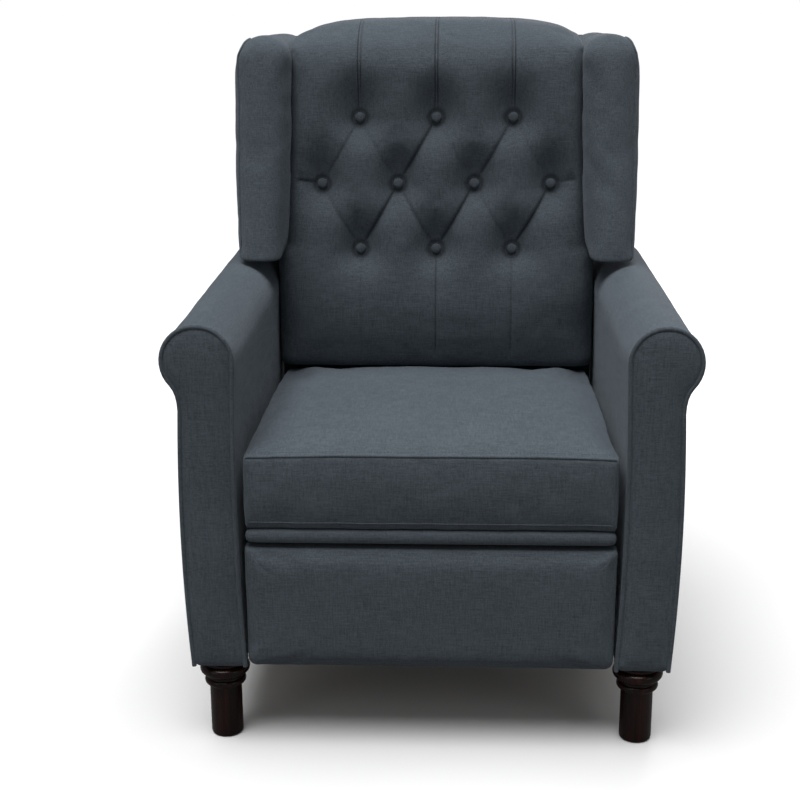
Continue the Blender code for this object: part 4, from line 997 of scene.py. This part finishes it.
def tuft(mesh, shape):
    """Draws the cover in to the buttons, and folds it along the diamonds and the upright pleats. It also writes a
    painted shade mask, darker in the folds, along the pleat edges and in a ring round each button.
    """
    points, normals = read_points(mesh)
    x, y, z = points[:, 0], points[:, 1], points[:, 2]
    plane = BACK_LOW.y + FACE_LEAN * (z - BACK_LOW.z)
    shown = np.clip(np.maximum(-normals[:, 1], normals[:, 2]) * 2.5, 0, 1) * (y < frame_front_y(1.0) + 0.04)
    shown *= np.where(z < FRAME_HIGH.z, y < plane + 0.05, 1.0)
    push, fold, drawn, puff = np.zeros_like(z), np.zeros_like(z), np.zeros_like(z), np.ones_like(z)
    names = {name: (b.x, b.z) for name, b in BUTTONS.items()}

    # Presses a groove from a to b and paints shade along its line; dark sets how strong that painted shade is.
    def crease_with_painted_shade(a, b, depth, short=0.0022, long=0.011, fade=(0.15, 0.85), dark=0.5):
        ax, az = a
        dx, dz = b[0] - ax, b[1] - az
        length = hypot(dx, dz)
        t = ((x - ax) * dx + (z - az) * dz) / length ** 2
        side = ((x - ax) * dz - (z - az) * dx) / length
        inside = np.clip((t + 0.02) / max(fade[0], 1e-3), 0, 1) * np.clip((1.02 - t) / max(1 - fade[1], 1e-3), 0, 1)
        sign = 1 if depth > 0 else -1
        across = 0.75 * fold_profile(side * sign, short, long) + 0.55 * bell(side, 0.013)
        np.maximum(push, abs(depth) * across * inside * shown, out=push)
        np.maximum(fold, dark * bell(side, 0.0020) * inside * shown, out=fold)

    for bx, bz in names.values():
        rise = z - bz
        reach = np.where(rise > 0, rise * 0.6, rise)
        puff *= 1 - np.exp(-((x - bx) ** 2 + reach ** 2) / 0.040 ** 2)
    heights = np.linspace(0.40, 1.0, 241)
    half = np.interp(z, heights, [back_half_width(height) for height in heights])
    sides = 1 - np.clip(np.abs(x) / half, 0, 1) ** 5
    ends = np.clip((z - BACK_LOW.z) / 0.05, 0, 1) * np.clip((BACK_HIGH.z - 0.012 - z) / 0.06, 0, 1)
    y -= shape.between_buttons * puff * sides * ends * shown
    for (first, second), strength in PLEATS.items():
        strong = names["button_" + second][0] < names["button_" + first][0]
        depth = shape.pleat_depth * strength
        crease_with_painted_shade(names["button_" + second], names["button_" + first], -depth if strong else depth,
               long=0.016 if strong else 0.012, fade=(0.12, 0.86), dark=0.6 * strength)
    for name, (bx, bz) in names.items():
        if name.startswith("button_1_"):
            above = np.clip((z - bz) / 0.012, 0, 1) * shown
            away = np.abs(x - bx)
            rim = away - 0.0023
            np.maximum(push, (0.0035 * bell(away, 0.011) + 0.0030 * bell(rim, 0.0010)) * above, out=push)
            # Painted shade along the edges of the upright pleats above the top buttons.
            np.maximum(fold, 0.55 * bell(rim, 0.0009) * above, out=fold)
        if name.startswith("button_3_"):
            below = np.clip((bz - z) / 0.02, 0, 1) * np.clip((z - BACK_LOW.z - 0.01) / 0.02, 0, 1) * shown
            amount = 1.0 if bx > -0.06 else 0.45
            away = np.abs(x - bx)
            np.maximum(push, amount * (0.0016 * bell(away, 0.0013) + 0.0012 * bell(away, 0.008)) * below, out=push)
            # Painted shade along the upright seams below the lowest buttons.
            np.maximum(fold, 0.35 * amount * bell(away, 0.0011) * below, out=fold)
    for name, toward in (("button_2_1", -1), ("button_2_4", 1)):
        bx, bz = names[name]
        crease_with_painted_shade((bx, bz), (toward * PAD_HALF, bz + 0.008), 0.0045, short=0.0016, long=0.006, fade=(0.1, 0.95),
               dark=0.4)
    y += push
    for bx, bz in names.values():
        rise = z - bz
        reach = np.where(rise > 0, rise * 0.55, rise * 1.05)
        away = np.sqrt((x - bx) ** 2 + reach ** 2)
        pull = np.exp(-(away / shape.tuft_radius) ** 1.5) * shown * (z < FRAME_HIGH.z)
        np.maximum(drawn, pull, out=drawn)
        ring = np.sqrt((x - bx) ** 2 + rise ** 2)
        # Painted shade in a ring round each button, where the tuft dips.
        np.maximum(fold, 0.6 * bell(ring - 0.0125, 0.004) * shown, out=fold)
    y += drawn * (plane + 0.0030 - y)
    write_points(mesh, points)
    # Stores the painted shade for the back's cloth to darken its colour by.
    mesh.attributes.new("fold", "FLOAT", "POINT").data.foreach_set("value", fold)


class RECLINER_OT_back_pad(bpy.types.Operator):
    """Diamond-tufted back pad with upright pleats over its arched top"""

    bl_idname = "recliner.back_pad"
    bl_label = "Tufted Back"

    def execute(self, context):
        shape = context.scene.recliner_shape
        outline = back_outline()
        top = BACK_HIGH.z
        arch_start = top - 0.30

        def place(share, y, z):
            """Puts a side-outline point at a share of the half width, under the arched top."""
            half = back_half_width(z)
            edge = min(1.0, max(0.0, (abs(share) * half - (half - 0.022)) / 0.022))
            roll = 0.012 * (1 - (1 - edge * edge) ** 0.5)
            in_front = y < face_y(z) + 0.05 and z < top - 0.03
            drop = 0.010 * abs(share) ** 3.0 * smoothstep(arch_start, top, z)
            drop += 0.010 * max(0.0, (abs(share) - 0.86) / 0.14) ** 2.2 * smoothstep(top - 0.04, top, z)
            forward = fullness(share * half, z) * (1 - smoothstep(face_y(z) + 0.004, face_y(z) + 0.06, y))
            y_new = y - forward * (1 - smoothstep(top - 0.035, top, z)) + roll * (1.0 if in_front else 0.3)
            return (share * half, y_new, z - drop)

        rings = [[place(column / PAD_HALF, y, z) for y, z in outline] for column in back_columns()]
        middle_y = lambda z: (face_y(z) + frame_front_y(z)) / 2
        for side in (-1, 1):
            edge = [place(side, y, z) for y, z in outline]
            for share, out in ((0.06, 0.0008), (0.2, 0.001), (0.5, 0.001), (0.8, 0.001)):
                ring = [(x + side * out, y + (min(middle_y(z), frame_front_y(z) - 0.03) - y) * share,
                         z + (min(max(z, BACK_LOW.z + 0.03), FRAME_HIGH.z - 0.02) - z) * share) for x, y, z in edge]
                rings = [ring] + rings if side < 0 else rings + [ring]
        pad = loft("tufted_back", rings)

        def held(p):
            pinned = any(hypot(p.x - b.x, p.z - b.z) < 0.011 for b in BUTTONS.values()) and p.y < face_y(p.z) + 0.03
            hidden = p.y > frame_front_y(p.z) - 0.03 and p.z < FRAME_HIGH.z + 0.02
            edge = abs(p.x) > back_half_width(p.z) - 0.004
            return pinned or hidden or edge or p.z < BACK_LOW.z + 0.006

        def cap(p):
            if p.z > top - 0.035 or p.y > face_y(p.z) + 0.05:
                return 0.008
            share = abs(p.x) / back_half_width(p.z)
            low = smoothstep(BACK_LOW.z, BACK_LOW.z + 0.06, p.z)
            return (0.004 + (shape.back_puff - 0.004) * low) * (1 - 0.75 * share ** 6)

        inflate(pad, cap, held)
        ruffle(subdivide(pad, 2), 0.0009, 0.05, 5)
        tuft(pad.data, shape)
        # The back pad takes the cloth with painted shade in its folds and round its buttons.
        settle(pad, "back", ["back_cushion"], finish="folded_fabric")
        reach = ARM_LOW.x + 0.0023
        line = ((0.1530, 0.4360), (0.1520, 0.4180), (0.1515, 0.4000), (0.1512, 0.3850), (0.1510, 0.3720))
        hanging_flap("back_pull_in", "back", [-reach + 2 * reach * k / 59 for k in range(60)], line,
                     ((0.0012, 47.0, 0.0), (0.0008, 19.0, 1.0), 0.06), 0.0011)
        return {"FINISHED"}


class RECLINER_OT_buttons(bpy.types.Operator):
    """Ten fabric-covered buttons set in the tufts"""

    bl_idname = "recliner.buttons"
    bl_label = "Covered Buttons"

    def execute(self, context):
        profile = [(0.0, 0.0), (0.0074, 0.0), (0.0084, 0.0010), (0.0090, 0.0024), (0.0088, 0.0036), (0.0079, 0.0048),
                   (0.0062, 0.0057), (0.0040, 0.0062), (0.0018, 0.0065), (0.0, 0.0066)]
        form = add_mesh("covered_button_form", *lathe(profile, 20))
        tree = scatter_tree("Tufting Buttons", form, -0.08, 0.08, 7)
        spots = [(b.x, face_y(b.z) + 0.0016, b.z) for b in BUTTONS.values()]
        buttons = run_tree("tuft_buttons", tree, spots, [], FINISHES["fabric"], Size=0.9,
                           Lean=pi / 2 - atan2(FACE_LEAN, 1))
        bpy.data.objects.remove(form)
        settle(buttons, "back", list(BUTTONS))
        return {"FINISHED"}


# ================================================================ the wings and the outside back
def wing_edges(z):
    """Inner and outer face of the right wing at a height."""
    share = (z - WING_LOW.z) / (WING_HIGH.z - WING_LOW.z)
    return WING_INNER - WING_INNER_TAPER * share, WING_OUTER + WING_OUTER_FLARE * share


class RECLINER_OT_wings(bpy.types.Operator):
    """Two stuffed wings with rounded tops"""

    bl_idname = "recliner.wings"
    bl_label = "Wings"

    def execute(self, context):
        shape = context.scene.recliner_shape
        low, top = WING_LOW.z, WING_HIGH.z
        front_low, front_high = WING_LOW.y, FRONT_Y + 0.512
        cross = 22
        for name, side in SIDES:

            def ring(t, shrink):
                """A level cross-section; shrink draws its width and front in towards the middle."""
                out = []
                z0 = low + (top - low) * t
                inner, outer = wing_edges(z0)
                middle, half = (inner + outer) / 2, (outer - inner) / 2 * shrink
                front = front_low + (front_high - front_low) * t + (1 - shrink) * 0.040
                rear = frame_rear_y(z0) - 0.0006
                nose = 0.030
                path = [(middle - half, rear), (middle - half, front + nose)]
                path = resample(path, 0.014)
                for k in range(1, cross):
                    a = pi * k / cross
                    path.append((middle - half * squared(cos(a), 0.62),
                                 front + nose * (1 - sin(a) ** 0.72)))
                steps = len(resample([(middle - half, rear), (middle - half, front + nose)], 0.014)) - 1
                path += [(middle + half, front + nose + (rear - front - nose) * k / steps) for k in range(steps + 1)]
                for x, y in path:
                    rise = 0.030 * min(1.0, max(0.0, (y - front_low - 0.01) / 0.30))
                    drop = WING_REAR_DROP * smoothstep(0.75, 1.0, t) * smoothstep(front_high, rear, y)
                    out.append((side * x, y, z0 + rise * (1 - t) - drop))
                return out

            levels = [(0.0, 0.10), (0.0, 0.5), (0.0006, 0.88), (0.004, 0.955), (0.011, 0.99), (0.022, 1.0)]
            dome = 0.040 / (top - low)
            steps = 26
            levels += [(0.022 + (1 - dome - 0.022) * k / steps, 1.0) for k in range(1, steps + 1)]
            levels += [(1 - dome + dome * q, max(0.10, (1 - q ** 2.3) ** (1 / 2.3)))
                       for q in (0.25, 0.45, 0.62, 0.76, 0.87, 0.945, 0.985, 1.0)]
            rings = [even_ring(ring(t, shrink), 64) for t, shrink in levels]
            wing = loft(name + "_wing_pad", rings, "zip")

            def held(p):
                return p.y > frame_rear_y(p.z) - 0.012 or p.z < low + 0.004

            def cap(p):
                inner, outer = wing_edges(min(top, max(low, p.z)))
                near_pad = abs(p.x) < inner + 0.006 and p.y > face_y(p.z) - 0.02
                return 0.0025 if near_pad else shape.trim_puff * 1.3

            inflate(wing, cap, held)
            ruffle(subdivide(wing), 0.0008, 0.05, 4)
            settle(wing, "back", [name + "_wing"])
            rise = [low + 0.006 + (top - 0.035 - low) * k / 60 for k in range(61)]
            path = [Vector((side * (wing_edges(z)[1] + 0.004),
                            front_low + (front_high - front_low) * (z - low) / (top - low) + 0.012, z))
                    for z in rise]
            bend = path[-1]
            for k in range(1, 15):
                a = radians(90 * k / 14)
                path.append(bend + Vector((-side * 0.012 * sin(a), 0.045 * (1 - cos(a)), 0.034 * sin(a))))
            last = path[-1]
            path += [last + Vector((0, 0.020 * k, -0.0015 * k)) for k in range(1, 15)]
            lay_cord(name + "_wing_welt", on_surface(wing, path, 0.0006), shape.welt_radius * 0.62, "back")
        return {"FINISHED"}


def even_ring(points, count):
    """The same closed ring, with a fixed number of evenly spread points."""
    loop = [Vector(p) for p in points] + [Vector(points[0])]
    lengths = [0.0]
    for a, b in zip(loop, loop[1:]):
        lengths.append(lengths[-1] + (b - a).length)
    out, k = [], 0
    for i in range(count):
        target = lengths[-1] * i / count
        while lengths[k + 1] < target:
            k += 1
        step = lengths[k + 1] - lengths[k]
        out.append(tuple(loop[k].lerp(loop[k + 1], (target - lengths[k]) / step if step else 0)))
    return out


class RECLINER_OT_outside_back(bpy.types.Operator):
    """Covered outside back, its narrow side panels and the apron below it"""

    bl_idname = "recliner.outside_back"
    bl_label = "Outside Back and Apron"

    def execute(self, context):
        gap, thick = 0.0006, 0.0075

        def top_drop(x, z):
            """The top edge falls away behind the wings, and rounds its corners."""
            share = smoothstep(PANEL_HIGH.z - 0.10, PANEL_HIGH.z, z)
            corner = min(1.0, max(0.0, (abs(x) - PANEL_HIGH.x + 0.043) / 0.043))
            return share * ((WING_REAR_DROP + 0.004) * smoothstep(0.20, 0.245, abs(x))
                            + 0.043 * (1 - sqrt(1 - corner * corner)))

        waist_z, shoulder = 0.470, 0.650
        waist, narrow = 0.2345, 0.2515
        rings = []
        levels = [PANEL_LOW.z + d for d in (0.0, 0.0006, 0.003)]
        z = PANEL_LOW.z + 0.010
        while z < PANEL_HIGH.z - 0.008:
            levels.append(z)
            turning = waist_z - 0.01 < z < waist_z + 0.015 or shoulder - 0.02 < z < shoulder + 0.01
            z += 0.004 if turning else 0.0095
        levels += [PANEL_HIGH.z - d for d in (0.003, 0.0006, 0.0)]
        for k, z in enumerate(levels):
            half = waist + (narrow - waist) * smoothstep(waist_z, waist_z + 0.006, z)
            half += (PANEL_HIGH.x - 0.001 - narrow) * smoothstep(shoulder - 0.012, shoulder + 0.001, z)
            end = min(k, len(levels) - 1 - k)
            flat = (0.08, 0.55, 0.85)[end] if end < 3 else 1.0
            start = frame_rear_y(z) + gap
            across = 44
            ring = [(half * sin(pi / 2 * (2 * j / across - 1)), start + thick * 0.5 * (1 - flat), z)
                    for j in range(across + 1)]
            for j in range(across, -1, -1):
                s = sin(pi / 2 * (2 * j / across - 1))
                edge = 1 - abs(s) ** 14
                height = (z - PANEL_LOW.z) / (PANEL_HIGH.z - PANEL_LOW.z)
                belly = 0.0055 * (1 - s * s) * sin(pi * min(1, max(0, height))) ** 0.8
                ring.append((half * s, start + thick * (0.5 + 0.5 * flat) * (0.25 + 0.75 * edge) + belly * flat, z))
            rings.append([(x, y - FRAME_LEAN * top_drop(x, z), z - top_drop(x, z)) for x, y, z in ring])
        panel = ruffle(subdivide(loft("outside_back_panel", rings)), 0.0008, 0.09, 6)
        settle(panel, "back", ["outside_back"])
        inset = 0.009
        wide = PANEL_HIGH.x - 0.001 - inset
        corners = [(waist - inset, PANEL_LOW.z + inset), (waist - inset, waist_z), (narrow - inset, waist_z + 0.010),
                   (narrow - inset, shoulder - 0.002), (wide, shoulder + 0.010), (wide, PANEL_HIGH.z - 0.050),
                   (wide - 0.012, PANEL_HIGH.z - 0.034), (0.24, PANEL_HIGH.z - 0.026), (0.20, PANEL_HIGH.z - inset)]
        loop = corners + [(-x, z) for x, z in reversed(corners)] + corners[:1]
        loop = [Vector((x, frame_rear_y(z) + 0.04, z)) for x, z in resample(loop, 0.008)]
        sew("outside_back_stitches", on_surface(panel, loop, 0.0), "back")
        line = [(frame_front_y(z) + 0.041, z) for z in (0.3520, 0.3420, 0.3320, 0.3220, 0.3140, 0.3070)]
        hanging_flap("outside_back_skirt", "back", [(2 * k / 45 - 1) * SKIRT_HALF for k in range(46)], line,
                     ((0.0012, 43.0, 0.0), (0.0007, 21.0, 2.0), 0.046), 0.001)
        for name, side in SIDES:
            rings = []
            flank_low, flank_high, levels, around = 0.480, 0.634, 23, 24
            for k in range(levels + 1):
                z = flank_low + (flank_high - flank_low) * k / levels
                y0, y1 = frame_front_y(z), frame_rear_y(z) + 0.003
                grow = 1.0 if 0 < k < levels else 0.4
                xm = side * (narrow - 0.0035)
                ring = []
                for j in range(around):
                    a = 2 * pi * j / around
                    ring.append((xm + 0.0034 * grow * squared(cos(a), 0.5),
                                 (y0 + y1) / 2 + (y1 - y0) / 2 * squared(sin(a), 0.5), z))
                rings.append(ring)
            settle(loft(name + "_back_side", rings), "back")
        rings = []
        low, high = APRON_LOW, APRON_HIGH
        steps, across = 22, 40
        for k in range(steps + 1):
            t = k / steps
            z = low.z + (high.z - low.z) * t
            end = min(k, steps - k)
            flat = (0.15, 0.8, 0.97)[end] if end < 3 else 1.0
            middle, half = (low.y + high.y) / 2, (high.y - low.y) / 2
            ring = [(low.x + (high.x - low.x) * j / across, middle - half * flat, z) for j in range(across + 1)]
            for j in range(across, -1, -1):
                s = 2 * j / across - 1
                belly = 0.003 * (1 - s * s) * sin(pi * t)
                ring.append((low.x + (high.x - low.x) * j / across, middle + half * flat + belly * flat, z))
            rings.append(ring)
        settle(subdivide(loft("rear_apron_cover", rings)), "base", ["rear_apron"])
        return {"FINISHED"}


# ================================================================ small fixings
class RECLINER_OT_fixings(bpy.types.Operator):
    """Screws of the mechanism and footrest, and the staples of the dust cloth"""

    bl_idname = "recliner.fixings"
    bl_label = "Screws and Staples"

    def execute(self, context):
        profile = [(0.0, -0.0004), (0.0042, -0.0004), (0.0044, 0.0004), (0.0040, 0.0014), (0.0030, 0.0021),
                   (0.0018, 0.0024), (0.0015, 0.0022), (0.0013, 0.0008), (0.0, 0.0006)]
        form = add_mesh("pan_head_form", *lathe(profile, 12))
        tree = scatter_tree("Pan Head Screws", form, 0.0, pi, 11)
        bracket_low, bracket_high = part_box("right_footrest_bracket")
        rail_low, rail_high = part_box("right_mechanism_rail")
        back_face = bracket_low.y + 0.003
        heights = (bracket_low.z + 0.014, bracket_high.z - 0.014)
        crossings = [sum(b.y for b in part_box(node)) / 2 for node in ("front_rail", "rear_rail")]
        on_bracket = [(side * (bracket_low.x + 0.009), back_face, z) for _, side in SIDES for z in heights]
        on_rail = [(side * (rail_high.x - 0.0062), y, rail_low.z + 0.003) for _, side in SIDES for y in crossings]
        for name, body, lean, spots in (("footrest_screws", "footrest", -pi / 2, on_bracket),
                                        ("rail_screws", "base", 0.0, on_rail)):
            screws = run_tree(name, tree, spots, [], FINISHES["spring_steel"], Size=1.0, Lean=lean)
            settle(screws, body, finish="spring_steel")
        bpy.data.objects.remove(form)
        x, y0, y1, z = DUST_HIGH.x - 0.010, DUST_LOW.y + 0.010, DUST_HIGH.y - 0.007, DUST_LOW.z - 0.0001
        corners = [(-x, y0, z), (x, y0, z), (x, y1, z), (-x, y1, z), (-x, y0, z)]
        staples = run_tree("dust_cloth_staples", GROUPS["stitch"], *row_of_edges(list(zip(corners, corners[1:]))),
                           FINISHES["spring_steel"], Stitch_Length=0.010, Thread=THREAD, Pitch=0.036)
        settle(staples, "base", finish="spring_steel")
        return {"FINISHED"}


# ================================================================ legs
class RECLINER_OT_legs(bpy.types.Operator):
    """Four turned legs with a collar, a bead and a rounded foot"""

    bl_idname = "recliner.legs"
    bl_label = "Turned Legs"

    def execute(self, context):
        top = LEG_HIGH.z
        profile = [(0.0, 0.0), (0.0185, 0.0), (0.0210, 0.0006), (0.0224, 0.0020), (0.0230, 0.0042), (0.0230, 0.076),
                   (0.0234, 0.0785), (0.0244, 0.0800), (0.0256, 0.0806)]
        profile += [(0.0256 + 0.0042 * sin(radians(a)), 0.0856 - 0.0050 * cos(radians(a)))
                    for a in range(10, 171, 16)]
        profile += [(0.0260, 0.0914), (0.0256, 0.0930), (0.0262, 0.0952), (0.0284, 0.0968)]
        profile += [(0.0290 + 0.0070 * sin(radians(a)), 0.1046 - 0.0076 * cos(radians(a)))
                    for a in range(12, 169, 12)]
        profile += [(0.0292, top - 0.0072), (0.0290, top - 0.0062), (0.0318, top - 0.0056), (0.0334, top - 0.0044),
                    (0.0338, top - 0.0026), (0.0330, top - 0.0008), (0.0316, top), (0.0, top)]
        for node in ("front_left_leg", "front_right_leg", "rear_left_leg", "rear_right_leg"):
            low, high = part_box(node)
            cx, cy = (low.x + high.x) / 2, (low.y + high.y) / 2
            leg = add_mesh("turned_" + node, *lathe(profile, 56, (cx, cy)))
            settle(leg, "base", [node], finish="leg")
        return {"FINISHED"}


# ================================================================ finishes of the kept parts
class RECLINER_OT_finishes(bpy.types.Operator):
    """Materials for every piece, and new ones on the frame parts that keep their shape"""

    bl_idname = "recliner.finishes"
    bl_label = "Finishes"

    def execute(self, context):
        look = context.scene.recliner_finish
        GROUPS.update(yarns=woven_yarns(), wear=worn_edges(), grain=wood_grain(), stitch=stitch_tree(),
                      welt=welt_tree())
        FINISHES.update(
            fabric=fabric_finish("slate_heather_weave", look.fabric, look.heather),
            # The back's cloth, darkened by the painted shade in its folds.
            folded_fabric=fabric_finish("slate_heather_weave_folded", look.fabric, look.heather, crease_with_painted_shade=True),
            leg=leg_finish("espresso_lacquer", look.leg_wood),
            frame_wood=timber_finish("bare_frame_timber", look.frame_wood),
            black_steel=steel_finish("powder_coated_steel", look.steel),
            spring_steel=wire_finish("zinc_spring_wire"),
            dust_cloth=felt_finish("spun_dust_cloth"))
        kept = {"frame_wood": "frame_wood", "black_steel": "black_steel", "spring_steel": "spring_steel",
                "dust_cloth": "dust_cloth", "slate_fabric": "fabric", "espresso_wood": "leg"}
        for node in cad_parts.values():
            for slot in node.material_slots:
                name = slot.material.name.split(".")[0]
                slot.material = FINISHES[kept[name]]
        return {"FINISHED"}


# ================================================================ studio
class RECLINER_OT_studio(bpy.types.Operator):
    """Pale floor, soft lights and the camera"""

    bl_idname = "recliner.studio"
    bl_label = "Studio"

    def execute(self, context):
        scene, look = context.scene, context.scene.recliner_studio
        scene.view_settings.view_transform = "Standard"
        reach = 30.0
        floor = bpy.data.meshes.new("studio_floor")
        floor.from_pydata([(-reach, -reach, 0), (reach, -reach, 0), (reach, reach, 0), (-reach, reach, 0)], [],
                          [(0, 1, 2, 3)])
        floor = add_object("studio_floor", floor)
        paint, tree, shader, place = start_material("pale_floor_paint")
        mottle = noise(tree, place, 3.0, 3.0)
        seen = add_node(tree, "ShaderNodeLightPath").outputs["Is Camera Ray"]
        share = eased(tree, seen, 1.0 - look.bounce, look.bounce)
        shade = maths(tree, "MULTIPLY", eased(tree, mottle, 0.02, 0.99), share)
        wire(tree, tint(tree, look.floor, shade), shader.inputs["Base Color"])
        shader.inputs["Roughness"].default_value = 0.85
        floor.data.materials.append(paint)
        world = bpy.data.worlds.new("soft_room")
        world.use_nodes = True
        tree = world.node_tree
        sky = tree.nodes["Background"]
        sky.inputs["Color"].default_value = (1.0, 1.0, 1.0, 1.0)
        seen = add_node(tree, "ShaderNodeLightPath").outputs["Is Camera Ray"]
        wire(tree, eased(tree, seen, 1.0 - look.sky, look.sky), sky.inputs["Strength"])
        scene.world = world
        above = bpy.data.lights.new("overhead_light", "SUN")
        above.energy, above.angle = look.sun, radians(52)
        lamps = [(above, (-0.30, -0.36, 3.0))]
        for name, place in (("left_softbox", (-2.3, -2.4, 1.5)), ("right_softbox", (2.5, -2.2, 1.6)),
                            ("rear_softbox", (0.9, 3.2, 1.7))):
            lamp = bpy.data.lights.new(name, "AREA")
            power = look.rear_power if name.startswith("rear") else look.side_power
            lamp.size, lamp.energy, lamp.shape = 1.4, power, "DISK"
            lamps.append((lamp, place))
        lit_spot = Vector((0, 0.0, 0.45))
        for lamp, place in lamps:
            obj = add_object(lamp.name, lamp)
            obj.location = place
            obj.rotation_euler = (lit_spot - Vector(place)).to_track_quat("-Z", "Y").to_euler()
        camera = add_object("studio_camera", bpy.data.cameras.new("studio_camera"))
        camera.data.lens = look.lens
        camera.data.dof.use_dof = False
        camera.location = (0.034, -2.240, 1.064)
        below_level, turned_left, rolled = radians(16.61), radians(2.32), radians(-0.30)
        tilt = Euler((pi / 2 - below_level, 0, turned_left)).to_matrix() @ Matrix.Rotation(rolled, 3, "Z")
        camera.rotation_euler = tilt.to_euler()
        scene.camera = camera
        return {"FINISHED"}


OPERATORS = (RECLINER_OT_finishes, RECLINER_OT_seat_pad, RECLINER_OT_seat_band, RECLINER_OT_arms,
             RECLINER_OT_footrest, RECLINER_OT_back_pad, RECLINER_OT_buttons, RECLINER_OT_wings,
             RECLINER_OT_outside_back, RECLINER_OT_legs, RECLINER_OT_fixings, RECLINER_OT_studio)


class RECLINER_PT_panel(bpy.types.Panel):
    """Lists the pieces in the order they are made"""

    bl_idname = "RECLINER_PT_panel"
    bl_label = "Wing Recliner"
    bl_space_type = "VIEW_3D"
    bl_region_type = "UI"
    bl_category = "Recliner"

    def draw(self, context):
        for group in (context.scene.recliner_shape, context.scene.recliner_finish, context.scene.recliner_studio):
            box = self.layout.box()
            for key in group.__annotations__:
                box.prop(group, key)
        for operator in OPERATORS:
            self.layout.operator(operator.bl_idname)


SETTINGS = (("recliner_shape", RECLINER_PG_shape), ("recliner_finish", RECLINER_PG_finish),
            ("recliner_studio", RECLINER_PG_studio))


def register():
    for name, group in SETTINGS:
        bpy.utils.register_class(group)
        setattr(bpy.types.Scene, name, PointerProperty(type=group))
    for item in OPERATORS + (RECLINER_PT_panel,):
        bpy.utils.register_class(item)


def unregister():
    for item in (RECLINER_PT_panel,) + OPERATORS[::-1]:
        bpy.utils.unregister_class(item)
    for name, group in SETTINGS[::-1]:
        delattr(bpy.types.Scene, name)
        bpy.utils.unregister_class(group)


def main():
    """Makes every piece in order."""
    register()
    for operator in OPERATORS:
        area, action = operator.bl_idname.split(".")
        getattr(getattr(bpy.ops, area), action)()


if __name__ == "__main__":
    main()
